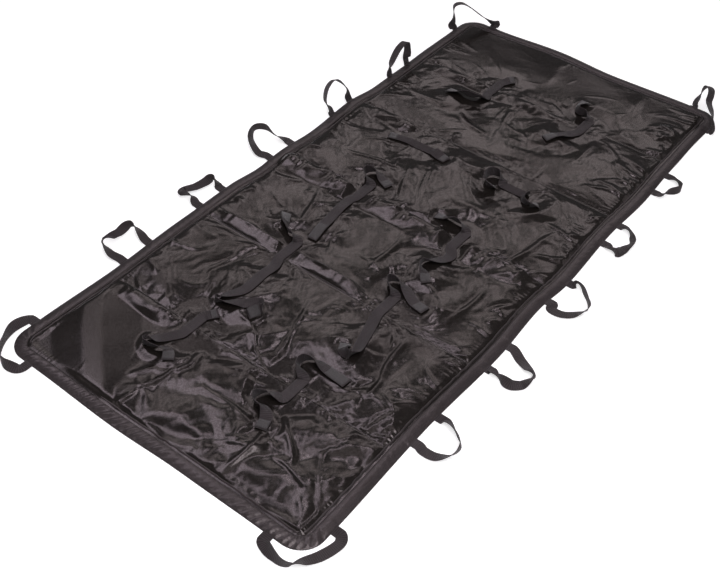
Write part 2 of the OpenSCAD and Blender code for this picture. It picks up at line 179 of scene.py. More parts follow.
# %% [markdown]
# A sheet that was folded for storage never lies with dead straight edges. The lists say how far each edge sways
# outwards at places along it, as in the photograph. Every finished piece at the edge is moved by the same small sway,
# which fades towards the middle, so that hem, base, loops and stitches stay together.

# %% Sway of the edges
RIGHT_SWAY = [(-880, 3), (-540, -4), (-280, 4), (-80, -5), (40, 4), (280, -5), (440, 1), (640, -6), (780, -9),
              (900, -7)]
LEFT_SWAY = [(-840, -2), (-640, -6), (-400, 2), (-200, 4), (-100, -5), (0, 1), (120, -6), (320, 6), (420, -5),
             (560, -4), (700, 0)]
FOOT_SWAY = [(-330, -3), (-120, -1), (90, 6), (330, 2)]
HEAD_SWAY = [(-330, -3), (-90, -8), (110, 7), (330, -6)]
SWAY_FADE = 120


def eased(at, knots):
    where, value = np.array(knots, float).T
    k = np.clip(np.searchsorted(where, at) - 1, 0, len(where) - 2)
    return value[k] + (value[k + 1] - value[k]) * step_up((at - where[k]) / (where[k + 1] - where[k]))


def at_edge(at, size):
    return step_up((np.abs(at) - size / 2) / SWAY_FADE + 1)


def sway(x, y):
    ends = np.where(x < 0, -eased(y, FOOT_SWAY), eased(y, HEAD_SWAY)) * at_edge(x, SHEET_LEN)
    sides = np.where(y < 0, -eased(x, RIGHT_SWAY), eased(x, LEFT_SWAY)) * at_edge(y, SHEET_W)
    return np.stack([ends, sides], axis=1)


def settle(piece):
    co = points(piece) / MM
    co[:, :2] += sway(co[:, 0], co[:, 1])
    place(piece, co)
    return piece


print("edges sway by up to", max(abs(v) for k in (RIGHT_SWAY, LEFT_SWAY, FOOT_SWAY, HEAD_SWAY) for _, v in k), "mm")

# %% [markdown]
# All finishes are black textiles, so what tells them apart is gloss, weave and a slight tint. One small class wraps
# a socket, so that the maths of a weave reads as a line of Python and each operator adds a Math node. Any other node
# comes from its method node, and a helper feeds the sockets with values or links.

# %% Shader maths
def feed(node, **values):
    for key, value in values.items():
        socket = node.inputs[int(key[1:]) if key[1:].isdigit() else key.replace("_", " ")]
        if isinstance(value, Wire):
            value.tree.links.new(value.socket, socket)
        else:
            socket.default_value = value


class Wire:
    def __init__(self, tree, socket):
        self.tree, self.socket = tree, socket

    def node(self, output, kind, settings=(), **values):
        node = self.tree.nodes.new(kind)
        for key, value in dict(settings).items():
            setattr(node, key, value)
        feed(node, **values)
        return Wire(self.tree, node.outputs[output])

    def math(self, operation, a, b=0.0):
        return self.node(0, "ShaderNodeMath", {"operation": operation}, _0=a, _1=b)

    def __add__(self, other):
        return self.math("ADD", self, other)

    def __sub__(self, other):
        return self.math("SUBTRACT", self, other)

    def __rsub__(self, other):
        return self.math("SUBTRACT", other, self)

    def __mul__(self, other):
        return self.math("MULTIPLY", self, other)

    __radd__, __rmul__ = __add__, __mul__

    def sine(self):
        return self.math("SINE", self)

    def size(self):
        return self.math("ABSOLUTE", self)

    def axis(self, number):
        return self.node(number, "ShaderNodeSeparateXYZ", Vector=self)

    def between(self, low, high):
        smooth_step = {"interpolation_type": "SMOOTHSTEP"}
        return self.node(0, "ShaderNodeMapRange", smooth_step, Value=self, From_Min=low, From_Max=high)

    def noise(self, scale, detail=2.0, rough=0.5):
        return self.node(0, "ShaderNodeTexNoise", Vector=self, Scale=scale, Detail=detail, Roughness=rough)

    def tint(self, low, high):
        return self.node(2, "ShaderNodeMix", {"data_type": "RGBA"}, _0=self, _6=(*low, 1), _7=(*high, 1))

    def bump(self, depth, strength):
        return self.node(0, "ShaderNodeBump", Height=self, Distance=depth, Strength=strength)


def finish_of(name):
    material = bpy.data.materials.new(name)
    material.use_nodes = True
    tree = material.node_tree
    coordinates = tree.nodes.new("ShaderNodeTexCoord").outputs
    return material, tree.nodes["Principled BSDF"], Wire(tree, coordinates["Object"]), Wire(tree, coordinates["UV"])


print("besides its operators, a wire has", [name for name in vars(Wire) if not name.startswith("_")])

# %% [markdown]
# The cover is nylon taffeta: thin, tightly woven and shiny, so wide areas mirror the soft lamps and turn from grey
# to black within a fold. It needs a low roughness with little change, and a weave so fine that it only softens the
# mirror image. A patchy thin coat adds a second, wider glint. The hem is the same cloth folded and pressed, a little
# duller, and its colour is painted lighter than the cover's, as painted light for the light that its outward slope
# catches. The base is a dull coated fabric.

# %% Cloth finishes
def cloth(name, dark, light, rough_low, rough_high, threads, strength, sheen, glint):
    material, shader, where, _ = finish_of(name)
    cloud, fine = where.noise(9.0, 4.0, 0.6), where.noise(260.0)
    weave = (where.axis(0) * threads).sine() * (where.axis(1) * threads).sine()
    grain = where.noise(380.0, 1.0).between(0.4, 0.62)
    colour = (cloud.between(0.3, 0.7) * 0.4 + grain * 0.6).tint(dark, light)
    rough = (cloud * 0.6 + fine * 0.4) * (rough_high - rough_low) + rough_low
    feed(shader, Base_Color=colour, Roughness=rough, Normal=(weave * 0.5 + fine * 0.8).bump(0.0002, strength),
         Coat_Weight=grain * glint, Coat_Roughness=0.22, Sheen_Weight=sheen, Sheen_Roughness=0.4,
         Specular_Tint=(1, 0.86, 0.87, 1))
    return material


taffeta = cloth("nylon_taffeta", (0.0095, 0.0076, 0.0066), (0.0175, 0.0146, 0.0132), 0.11, 0.17, 2600, 0.16, 0.0, 0.6)
# the hem's colour is painted lighter than the cover's: painted light for what its outward slope catches
hem_cloth_painted_light = cloth("pressed_hem_painted_light", (0.027, 0.0225, 0.023), (0.054, 0.0454, 0.0469), 0.26, 0.36, 2100, 0.3, 0.06, 0.3)
coated = cloth("coated_base", (0.016, 0.0145, 0.015), (0.024, 0.021, 0.022), 0.5, 0.66, 1500, 0.5, 0.05, 0.05)
print("cloth finishes", [m.name for m in (taffeta, hem_cloth_painted_light, coated)])

# %% [markdown]
# Webbing shows ribs across its length, a finer twill over them and two firm edges. The pattern is drawn on the UV map
# in millimetres: ribs along the first axis, edges on the second. Its colour holds dust and painted light: rib crests
# and the raised edges are painted lighter and the rib valleys darker. The pads at the ends of the straps have a fuzzy
# or hooked face, which is a coarse noise with more depth that also paints the raised loops lighter and the hollows
# darker as painted shade, and sewing thread is the same on a smaller scale.

# %% Webbing finishes
RIB_PITCH, TWILL_PITCH = 4.4, 1.1


def webbing(name, width, dark, light, sheen):
    material, shader, where, flat = finish_of(name)
    along, over = flat.axis(0), flat.axis(1)
    ribs = (along * (2 * math.pi / RIB_PITCH)).sine()
    twill = ((along + over * 1.4) * (2 * math.pi / TWILL_PITCH)).sine()
    edge = (over - width / 2).size().between(width / 2 - 2.2, width / 2 - 0.6)
    dust = where.noise(60.0, 4.0, 0.6)
    # dust, plus painted light: rib crests and raised edges painted lighter, rib valleys darker
    dust_and_painted_light = dust.between(0.35, 0.75) * 0.3 + edge * 0.3 + ribs * 0.5 + 0.3
    feed(shader, Base_Color=dust_and_painted_light.tint(dark, light), Roughness=dust * 0.2 + 0.44,
         Normal=(ribs * 0.6 + twill * 0.35 + edge * 0.9).bump(0.0004, 0.7),
         Sheen_Weight=sheen, Sheen_Roughness=0.35, Specular_Tint=(1, 0.88, 0.92, 1))
    return material


def fuzzy(name, dark, light):
    material, shader, where, _ = finish_of(name)
    loops = where.noise(900.0, 3.0, 0.7)
    # the loop noise also sets the colour: raised loops painted lighter, hollows darker, as painted shade
    feed(shader, Base_Color=loops.between(0.35, 0.7).tint(dark, light), Roughness=loops * 0.25 + 0.6,
         Normal=loops.bump(0.0012, 0.9), Sheen_Weight=0.35)
    return material


handle_web = webbing("handle_webbing", WEB_W, (0.02, 0.0168, 0.0175), (0.055, 0.0465, 0.0485), 0.15)
strap_web = webbing("strap_webbing", STRAP_W, (0.014, 0.0117, 0.0122), (0.052, 0.0437, 0.0458), 0.12)
pad_fuzz = fuzzy("hook_and_loop", (0.018, 0.0155, 0.016), (0.105, 0.094, 0.098))
thread = fuzzy("sewing_thread", (0.03, 0.026, 0.0265), (0.075, 0.066, 0.067))
print("webbing finishes", [m.name for m in (handle_web, strap_web, pad_fuzz, thread)])

# %% [markdown]
# Each loose strip follows a route measured on the photograph: points along the floor, a lift and a roll in degrees.
# The same routes shape the solids. A strap has the number of its anchor, the end of it that it leaves from, and
# points in millimetres from there. A handle's route is in shares of its half width and reach, with the tilt of the
# whole loop first and the roll of its second leg last.

# %% Routes of the straps and handles
ANCHOR_ROWS = ((-OUTER_SEAM_X, 0), (-305, 0), (0, 0), (265, 90), (OUTER_SEAM_X, 0))
ANCHORS = [(x, side * STRAP_Y, turn) for x, turn in ANCHOR_ROWS for side in (1, -1)]
STRAPS = [
    [0, -1, [[-25, 15, 0, 0], [-60, 34, 2, 15], [-84, 38, 3, 90], [-82, 13, 3, 115], [-66, -20, 2, 150],
        [-86, -40, 1, 180]]],
    [0, 1, [[12, -7, 1, 0], [30, -20, 1, 8]]],
    [1, -1, [[-8, 12, 3, 20], [-20, 34, 4, 60], [-40, 46, 4, 90], [-56, 36, 3, 105],
        [-54, 8, 3, 140], [-70, -12, 1, 175], [-100, -22, 0, 180]]],
    [1, 1, [[9, 16, 2, 35], [20, 34, 2, 75], [40, 34, 2, 95], [52, 12, 2, 125], [52, -22, 1, 170],
        [48, -84, 0, 180]]],
    [2, -1, [[-38, -14, 2, 0], [-84, -14, 1, 0], [-150, -20, 1, 0], [-200, 2, 2, 30], [-222, 8, 3, 90],
        [-212, -16, 3, 140], [-186, -50, 1, 180], [-168, -82, 2, 215], [-178, -102, 3, 270],
        [-208, -84, 1, 345]]],
    [2, 1, [[9, 14, 3, 40], [12, 42, 3, 75], [28, 64, 3, 55], [64, 92, 1, 15]]],
    [3, -1, [[-51, -16, 1, 0], [-111, -36, 1, 10], [-147, -48, 2, 35], [-165, -44, 3, 90],
        [-159, -22, 3, 140], [-133, -10, 1, 180]]],
    [3, 1, [[10, 16, 3, 45], [18, 38, 3, 80], [34, 40, 3, 95], [40, 16, 3, 122], [28, -16, 2, 165],
        [12, -48, 1, 178], [4, -86, 0, 180]]],
    [4, -1, [[-21, 6, 1, 0], [-81, -2, 1, 0], [-141, -12, 0, 0], [-203, -18, 0, 0]]],
    [4, 1, [[9, 16, 3, 45], [17, 36, 3, 75], [34, 38, 3, 95], [44, 16, 3, 125], [34, -14, 2, 170],
        [24, -44, 1, 180]]],
    [5, -1, [[-30, -20, 1, 0], [-70, -12, 2, 10], [-104, 6, 3, 50], [-124, 6, 3, 100],
        [-138, -12, 3, 150], [-156, -34, 1, 180]]],
    [5, 1, [[10, 16, 3, 45], [13, 42, 3, 65], [8, 70, 1, 25], [5, 100, 0, 0]]],
    [6, 1, [[-4, 14, 1, 5], [-10, 38, 1, 5], [-18, 66, 0, 0]]],
    [6, -1, [[-4, -16, 2, 20], [-10, -39, 2, 15], [-15, -64, 0, 0]]],
    [7, 1, [[8, 8, 3, 50], [20, 27, 3, 80], [10, 48, 3, 95], [-16, 50, 3, 100], [-34, 32, 2, 120],
        [-30, 6, 1, 150]]],
    [7, -1, [[-10, -5, 3, 50], [-32, -13, 4, 80], [-40, -31, 2, 120], [-24, -57, 0, 170]]],
    [8, -1, [[-26, -8, 1, 0], [-56, 4, 3, 50], [-70, 30, 3, 70], [-74, 62, 1, 30], [-72, 98, 0, 5]]],
    [8, 1, [[11, -5, 1, 0], [26, -15, 2, 12], [40, -28, 1, 5]]],
    [9, -1, [[-28, 14, 2, 0], [-62, 32, 3, 15], [-100, 54, 1, 0]]],
    [9, 1, [[9, 18, 4, 65], [8, 42, 4, 90], [26, 54, 3, 125], [70, 52, 0, 180]]],
]
LEFT_LOOPS = [
    [12, [[-1.15, 0.42, 0, 15], [-1, 0.76, 1, 90], [-0.3, 0.8, 0, 170], [0.3, 0.76, 0, 185],
        [1.05, 0.68, 1, 270], [1.1, 0.36, 0, 340]], 360],
    [8, [[-0.85, 0.33, 0, 40], [-1.1, 0.6, 2, 100], [-0.75, 0.7, 0, 165], [0, 0.58, 0, 180],
        [0.7, 0.5, 0, 200], [1.12, 0.4, 2, 280], [1.05, 0.2, 0, 330]], 360],
    [10, [[-1.2, 0.4, 0, 5], [-0.7, 0.86, 0, 40], [0.1, 1.02, 3, 90], [0.62, 0.82, 4, 100],
        [0.6, 0.44, 3, 130], [0.95, 0.2, 0, 175]], 180],
    [58, [[-1.15, 0.22, 0, 30], [-1.25, 0.5, 0, 65], [-0.6, 0.76, 0, 85], [0.35, 0.8, 0, 95],
        [1, 0.42, 0, 130]], 180],
    [78, [[-1.15, 0.24, 0, 20], [-0.9, 0.44, 0, 75], [-0.15, 0.68, 0, 90], [0.55, 0.78, 0, 90],
        [1, 0.74, 0, 90], [1, 0.5, 0, 85], [0.9, 0.27, 0, 40]], 0],
]
RIGHT_LOOPS = [
    [0, [[-1.12, 0.3, 0, 0], [-1.05, 0.6, 0, 10], [-0.6, 0.86, 1, 60], [0.1, 0.86, 2, 100],
        [0.55, 0.6, 3, 105], [0.95, 0.28, 1, 150]], 180],
    [0, [[-1.25, 0.22, 1, 40], [-1.35, 0.44, 2, 90], [-1.3, 0.68, 1, 150], [-0.8, 0.88, 1, 185],
        [-0.25, 0.96, 2, 250], [0.1, 0.82, 1, 330], [0.6, 0.42, 0, 360]], 360],
    [0, [[-1.4, 0.22, 0, 0], [-1.4, 0.5, 0, 5], [-1, 0.74, 0, 15], [-0.4, 0.9, 2, 70],
        [0.1, 0.76, 3, 95], [0.7, 0.46, 4, 95], [1.1, 0.2, 2, 135]], 180],
    [0, [[-1.35, 0.28, 0, 30], [-1.5, 0.5, 2, 110], [-0.85, 0.54, 1, 175], [-0.15, 0.64, 2, 235],
        [0.35, 0.46, 3, 270], [0.85, 0.26, 0, 330]], 360],
    [0, [[-1.1, 0.25, 0, 20], [-0.75, 0.38, 2, 75], [-0.35, 0.54, 3, 95], [0.1, 0.6, 3, 90],
        [0.45, 0.44, 2, 110], [0.85, 0.27, 0, 165]], 180],
]
CORNER_LOOPS = [
    [0, [[-0.98, 0.3, 0, 30], [-0.62, 0.48, 1, 65], [-0.1, 0.6, 2, 90], [0.5, 0.66, 2, 90],
        [1, 0.54, 1, 105], [1.22, 0.28, 0, 160]], 180],
    [0, [[-1.08, 0.34, 0, 8], [-0.5, 0.56, 0, 3], [0.06, 0.68, 0, 22], [0.44, 0.77, 2, 72],
        [0.72, 0.7, 2, 97], [0.94, 0.52, 2, 122], [1.1, 0.31, 0, 160]], 180],
    [76, [[-1.12, 0.42, 0, 60], [-1.12, 0.78, 0, 90], [-0.74, 0.87, 0, 95], [-0.3, 0.74, 0, 90],
        [0.3, 0.46, 0, 90], [0.85, 0.24, 0, 60]], 0],
    [62, [[-0.92, 0.32, 0, 40], [-0.4, 0.46, 0, 85], [0.14, 0.54, 0, 92], [0.36, 0.7, 0, 95],
        [0.62, 0.8, 0, 98], [0.98, 0.76, 0, 100], [1.12, 0.6, 0, 125], [1.12, 0.32, 0, 165]], 180],
]
STRAP_NAMES = [f"{where}_{side}_{end}_strap" for where in ("foot", "thigh", "waist") for side in ("left", "right")
               for end in ("rear", "front")]
STRAP_NAMES += [f"chest_{side}_strap" for side in ("left_outer", "left_inner", "right_inner", "right_outer")]
STRAP_NAMES += [f"head_{side}_{end}_strap" for side in ("left", "right") for end in ("rear", "front")]
CORNERS = {"foot_left": (-1, 1), "foot_right": (-1, -1), "head_left": (1, 1), "head_right": (1, -1)}
print(len(STRAPS), "straps from", len(ANCHORS), "anchors,", len(LEFT_LOOPS + RIGHT_LOOPS + CORNER_LOOPS), "handles")

# %% [markdown]
# A smooth curve goes through the points of a route, with straight leads where the strip leaves its seam, and it is
# then cut into equal steps. At each step the strip has a width direction, turned about the route by the roll. The
# strip itself is a grid laid along the route, with a thickness and softened edges.

# %% From a route to a strip
ROUTE_PITCH, CURVE_STEPS = 4.0, 16


def smooth_route(p, straight_end, pitch=ROUTE_PITCH):
    p = np.asarray(p, float)
    last, shares_of_step = len(p) - 1, np.arange(CURVE_STEPS) / CURVE_STEPS
    rows = [p[0] + (p[1] - p[0]) * t for t in shares_of_step]
    for i in range(1, last - straight_end):
        a, b, c, d = p[i - 1], p[i], p[i + 1], p[min(i + 2, last)]
        for t in shares_of_step:
            rows.append(b + 0.5 * t * (c - a + t * (2 * a - 5 * b + 4 * c - d + t * (3 * (b - c) + d - a))))
    if straight_end:
        rows += [p[last - 1] + (p[last] - p[last - 1]) * t for t in shares_of_step]
    rows = np.array(rows + [p[last]])
    gone = np.concatenate([[0], np.cumsum(np.linalg.norm(np.diff(rows[:, :2], axis=0), axis=1))])
    even = np.linspace(0, gone[-1], max(int(round(gone[-1] / pitch)), 6) + 1)
    return np.stack([np.interp(even, gone, rows[:, k]) for k in range(4)], axis=1)


def unit(v):
    return v / np.linalg.norm(v, axis=-1, keepdims=True)


def strip_frames(p):
    t = unit(np.gradient(p[:, :3], axis=0))
    side = unit(np.stack([-t[:, 1], t[:, 0], 0 * t[:, 0]], axis=1))
    up = np.cross(t, side)
    roll = np.radians(p[:, 3:4])
    return p[:, :3], side * np.cos(roll) + up * np.sin(roll), up * np.cos(roll) - side * np.sin(roll)


def ribbon(name, mids, wide, width, thick, across=4):
    steps = len(mids) - 1
    piece = grid(name, steps, across)
    u, v = shares(piece)
    k = np.rint(u * steps).astype(int)
    place(piece, mids[k] + wide[k] * ((v - 0.5) * width)[:, None])
    stretch_uv(piece, np.linalg.norm(np.diff(mids, axis=0), axis=1).sum(), width)
    finish(piece, "SOLIDIFY", thickness=thick * MM, offset=0)
    finish(piece, "BEVEL", width=0.3 * thick * MM, segments=2, limit_method="ANGLE", angle_limit=math.radians(50))
    smooth(piece)
    return piece


print("the first strap:", len(STRAPS[0][2]), "points make", len(smooth_route(STRAPS[0][2], False)) - 1, "steps")

# %% [markdown]
# A carrying handle is a loop of 25 mm webbing sewn under the hem at both ends. Loops that stand up in the photograph
# are tilted about the edge, and the tilt is spread over the first few millimetres outside the hem.

# %% Handles
ROOT_IN, HINGE_OUT, HINGE_LEAD = 8.0, 1.5, 2.0
TILT_LEN, BLEND_LEN, LOOP_PITCH = 5, 8, 3.0


def handle(name, loop, half, gap, splay, to_sheet):
    tilt, middle, last_roll = loop
    lean = np.array([math.sin(splay), math.cos(splay)])
    foot, head = np.array([-half, 0]) + gap * lean * (-1, 1), np.array([half, 0]) + gap * lean
    lead = WEB_W / 2 + ROOT_GAP
    route = [[*(foot - ROOT_IN * lean * (-1, 1)), 0, 0], [*(foot + lead * lean * (-1, 1)), 0, 0]]
    route += [[a * half, b * HANDLE_REACH, lift, roll] for a, b, lift, roll in middle]
    route += [[*(head + lead * lean), 0, last_roll], [*(head - ROOT_IN * lean), 0, last_roll]]
    p = smooth_route(route, True, LOOP_PITCH)
    p[:, 2] = np.maximum(p[:, 2], 0) + (WEB_W - WEB_T) / 2 * np.abs(np.sin(np.radians(p[:, 3])))
    mids, wide, _ = strip_frames(p)
    pivot = HINGE_OUT if splay == 0 else foot[1]
    bend = math.radians(tilt) * step_up((mids[:, 1] - pivot + HINGE_LEAD) / TILT_LEN)
    cos, sin = np.cos(bend), np.sin(bend)

    def tilted(v, at):
        y, z = v[:, 1] - at, v[:, 2]
        return np.stack([v[:, 0], at + y * cos - z * sin, y * sin + z * cos], axis=1)

    mids, wide = to_sheet(tilted(mids, pivot), 1), to_sheet(tilted(wide, 0), 0)
    mids[:, 2] += WEB_MID
    piece = settle(ribbon(name + "_loop", mids, wide, WEB_W, WEB_T))
    dress(piece, handle_web)
    root = to_sheet(np.array([[0, pivot - HINGE_LEAD, 0.0]]), 1)[0]
    out = to_sheet(np.array([[0, math.cos(math.radians(tilt)), math.sin(math.radians(tilt))]]), 0)[0]
    root[2] += WEB_MID
    root * MM
    (root + BLEND_LEN * out) * MM
    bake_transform(piece)
    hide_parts(name)
    return piece


def at_side(i, side):
    def to_sheet(v, moved):
        return v * (1, side, 1) + np.array([handle_x(i), side * SHEET_W / 2, 0]) * moved
    return to_sheet


def at_corner(sx, sy):
    middle = np.array([(SHEET_LEN - CORNER_LEG) / 2, (SHEET_W - CORNER_LEG) / 2, 0])

    def to_sheet(v, moved):
        x, y = (v[:, 0] + v[:, 1]) * math.sqrt(0.5), (v[:, 1] - v[:, 0]) * math.sqrt(0.5)
        return (np.stack([x, y, v[:, 2]], axis=1) + middle * moved) * (sx, sy, 1)
    return to_sheet


handles = []
for side, name, loops in ((1, "left", LEFT_LOOPS), (-1, "right", RIGHT_LOOPS)):
    for i, loop in enumerate(loops, 1):
        panel = panel_at(handle_x(i))
        handles.append(handle(f"{name}_handle_{i}", loop, LEG_HALF, ROOT_GAP, 0, at_side(i, side)))
for (name, corner), loop in zip(CORNERS.items(), CORNER_LOOPS):
    panel, half = panel_at(corner[0] * SHEET_LEN / 2), CORNER_LEG / math.sqrt(2)
    handles.append(handle(name + "_corner_handle", loop, half, CORNER_GAP, math.pi / 4, at_corner(*corner)))
print(len(handles), "handle loops,", sum(len(h.data.polygons) for h in handles), "faces")

# %% [markdown]
# The cover lies slack between its seams: it swells a little in each section, is held flat round the anchors and
# doubles into a pleat beside some seams. The functions give the height of the solids' top, on which the straps lie.
# A pleat is listed with the number of its seam, the side that it lies on and where it begins and ends across.

# %% Height of the cover
PLEATS = ((1, -1, 175, 400), (2, 1, -110, 400), (3, -1, -400, 450), (4, -1, 190, 400), (5, -1, -60, 390))
PLEAT_FADE = 60


def section_of(x):
    return np.clip(np.searchsorted(SEAMS, x, side="right") - 1, 0, len(SEAMS) - 2)


def swell(t, sharp):
    return 1 - np.minimum(np.abs(2 * t - 1), 1) ** sharp


def calm(x, y, flat=62, rise=60):
    return np.min([step_up((np.hypot(x - a, y - b) - flat) / rise) for a, b, _ in ANCHORS], axis=0)


def waves(x, y):
    lean = np.where(section_of(x) % 2 == 0, 0.6, -0.45)
    return np.sin(2 * np.pi * (x + lean * y) / 150) + 0.6 * np.sin(2 * np.pi * (lean * x - y) / 270)


def slack(x, y):
    i = section_of(x)
    u, v = (x - SEAMS[i]) / (SEAMS[i + 1] - SEAMS[i]), np.clip(y / INNER_W + 0.5, 0, 1)
    return swell(u, 3) * swell(v, 8) * (7 + 2.2 * waves(x, y))


def pleats(x, y, shape, which=PLEATS):
    return sum(shape(side * (x - SEAMS[seam])) * step_up((y - y0) / PLEAT_FADE) * step_up((y1 - y) / PLEAT_FADE)
               for seam, side, y0, y1 in which)


def cover_top(x, y):
    return SPOT_Z + calm(x, y) * (slack(x, y) + pleats(x, y, lambda e: 8 * np.maximum(1 - ((e - 24) / 16) ** 2, 0)))


highest = cover_top(*[a.ravel() for a in np.meshgrid(np.arange(-900, 900, 20), np.arange(-400, 400, 20))]).max()
print("top of the cover up to", round(highest, 1), "mm")

# %% [markdown]
# A patient strap is one length of webbing sewn across an anchor, so it leaves at both ends as two loose tails. Each
# tail ends in a pad of hook or loop tape. It lies on the cover, so the cover's height under its two edges and its
# middle sets how high it runs, and a tail on its edge stands half its width above that.

# %% Patient straps
STRAP_TUCK, BLEND_BACK, BLEND_OUT = 6, 1, 7
GROUND_STEPS, LEAST_PAD_STEPS = 5, 5


def strap_route(i):
    number, sign, steps = STRAPS[i]
    ax, ay, turn = ANCHORS[number]
    way = sign * np.array([math.cos(math.radians(turn)), math.sin(math.radians(turn))])
    end = np.array([ax, ay]) + way * (ANCHOR_LEN / 2 + ROOT_GAP)
    start = end + way * (STRAP_W / 2 + ROOT_GAP)
    route = [[*(end - way * STRAP_TUCK), 0, 0], [*start, 0, 0]]
    route += [[start[0] + a, start[1] + b, lift, roll] for a, b, lift, roll in steps]
    p = smooth_route(route, False)
    reach = strip_frames(p * (1, 1, 0, 1))[1] * STRAP_W / 2
    ground = np.max([cover_top(p[:, 0] + s * reach[:, 0], p[:, 1] + s * reach[:, 1]) for s in (-1, 0, 1)], axis=0)
    padded = np.pad(ground, GROUND_STEPS // 2, mode="edge")
    ground = np.convolve(padded, np.ones(GROUND_STEPS) / GROUND_STEPS, mode="valid")
    rise = (STRAP_W - STRAP_T) / 2 * np.abs(np.sin(np.radians(p[:, 3])))
    p[:, 2] = ground + REST_GAP + STRAP_T / 2 + rise + np.maximum(p[:, 2], 0)
    pad_len = np.hypot(route[-1][0] - route[-2][0], route[-1][1] - route[-2][1])
    return p, end, way, pad_len


straps, pads = [], []
for i, name in enumerate(STRAP_NAMES):
    p, end, way, pad_len = strap_route(i)
    panel = panel_at(ANCHORS[STRAPS[i][0]][0])
    mids, wide, face = strip_frames(p)
    strap = ribbon(name + "_tail", mids, wide, STRAP_W, STRAP_T)
    dress(strap, strap_web)
    root, out = np.array([*end, UPPER_LAYER_Z]), np.array([*way, 0])
    (root - BLEND_BACK * out) * MM
    (root + BLEND_OUT * out) * MM
    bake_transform(strap)
    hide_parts(name)
    straps.append(strap)
    tail = slice(len(p) - max(int(pad_len / ROUTE_PITCH), LEAST_PAD_STEPS), len(p) - 1)
    up = np.sign(math.cos(math.radians(p[-1, 3])) + 1e-6)
    pad = ribbon(name + "_pad", (mids + up * face * (STRAP_T + PAD_T) / 2)[tail], wide[tail], STRAP_W - 3, PAD_T)
    dress(pad, pad_fuzz)
    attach(pad, name)
    pads.append(pad)
print(len(straps), "straps and", len(pads), "pads")

# %% [markdown]
# The anchor itself is two layers of the strap laid flat and sewn down with a box stitch. The upper layer meets the
# two tails, so the webbing looks unbroken. All layers of one panel make one piece.

# %% Strap anchors
FLAT_STEPS, TAIL_ROOM = 12, 10.4


def flat_web(x, y, z, turn, long, width, thick):
    way = np.array([math.cos(math.radians(turn)), math.sin(math.radians(turn)), 0])
    mids = np.array([x, y, z]) + np.linspace(-long / 2, long / 2, FLAT_STEPS)[:, None] * way
    wide = np.tile(np.array([-way[1], way[0], 0]), (FLAT_STEPS, 1))
    return ribbon("layer", mids, wide, width, thick)


def join(name, pieces):
    pick(*pieces)
    bpy.ops.object.join()
    pieces[0].name = pieces[0].data.name = name
    return pieces[0]


def carry(piece, material, body, node):
    dress(piece, material)
    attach(piece, body)
    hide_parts(node)
    print(piece.name, len(piece.data.polygons), "faces")


def anchors_on(panel):
    return [anchor for anchor in ANCHORS if panel_at(anchor[0]) == panel + "_panel"]


for panel in ("foot", "middle", "head"):
    layers = []
    for x, y, turn in anchors_on(panel):
        for z, long in ((LOWER_LAYER_Z, ANCHOR_LEN), (UPPER_LAYER_Z, ANCHOR_LEN - TAIL_ROOM)):
            layers.append(flat_web(x, y, z, turn, long, STRAP_W, STRAP_T))
    patches = join(panel + "_anchor_patches", layers)
    carry(patches, strap_web, panel + "_panel", panel + "_strap_anchors")

# %% [markdown]
# Under the cover, pairs of webbing runs cross from each left handle to the right one, and short tabs hold the corner
# handles. They stay hidden, but they are the load path, so they are there.

# %% Hidden webbing runs and corner tabs
EDGE_IN, TAB_CUT = 16, 10
for i in range(1, 6):
    x = handle_x(i)
    runs = [flat_web(x + leg * LEG_HALF, 0, WEB_MID, 90, SHEET_W - EDGE_IN, WEB_W, WEB_T) for leg in (-1, 1)]
    carry(settle(join(f"carry_webbing_runs_{i}", runs)), handle_web, panel_at(x), f"carry_webbing_{i}")
for end, sx in (("foot", -1), ("head", 1)):
    tabs = []
    for sy in (1, -1):
        for x, y, turn in ((SHEET_LEN / 2 - CORNER_LEG, (SHEET_W - TAB_LEN - TAB_CUT) / 2, 90),
                           ((SHEET_LEN - TAB_LEN - TAB_CUT) / 2, SHEET_W / 2 - CORNER_LEG, 0)):
            tabs.append(flat_web(sx * x, sy * y, WEB_MID, turn, TAB_LEN - TAB_CUT, WEB_W, WEB_T))
    piece = settle(join(end + "_corner_webbing", tabs))
    carry(piece, handle_web, end + "_panel", end + "_corner_tabs")

# %% [markdown]
# A fold in thin cloth is a narrow crest with one side steeper than the other. The first list holds the folds that
# show in the photograph: where each begins and ends, its height and half its width. The second holds those in the two
# smooth zones, which have no others. Smaller folds are scattered between them with a fixed seed, along the pull of
# the anchors near these and slanting elsewhere, and the last ones run in from the two long edges.

# %% Folds of the cover
FOLDS = [
    (-780, 95, -740, 75, 5, 7), (-740, 75, -690, 80, 5, 7), (-690, 80, -680, 55, 4, 7), (-655, 110, -600, 80, 4, 7),
    (-900, -188, -690, -166, 6, 9), (-560, 70, -660, -90, 5, 10), (-670, -165, -800, -285, 6, 10),
    (-655, -170, -650, -275, 6, 9), (-635, -170, -555, -260, 5, 9), (-490, -25, -430, -25, 4, 8),
    (-230, -40, -80, -30, 4, 9), (-420, -245, -335, -185, 5, 9), (-570, -283, -500, -283, 4, 8),
    (-500, -283, -380, -260, 4, 8), (110, 15, 200, 65, 5, 10), (60, 75, 250, 175, 4, 12), (60, 10, 250, 105, 4, 12),
    (180, -185, 275, -150, 5, 9), (285, 110, 380, 112, 4, 8), (500, -230, 630, -210, 4, 10),
    (500, 20, 650, 75, 5, 11), (-225, -304, -116, -298, 4, 8), (-20, -300, 156, -329, 4, 8),
    (-200, 210, -60, 260, 4, 10), (-250, 60, -140, 130, 4, 9), (420, 60, 480, 160, 4, 9),
]
KEPT_FOLDS = [
    (905, -222, 640, -194, 3.5, 30), (905, 64, 745, 62, 2.2, 30), (-850, 155, -795, 142, 4, 6),
    (-945, 95, -870, 105, 5, 8), (-855, 110, -780, 105, 4, 6),
]
FINE_FOLDS = []
SMALL_COUNT, FINE_COUNT, EDGE_COUNT = 64, 200, 84
PULL_REACH, COVER_EDGE = 150, 406
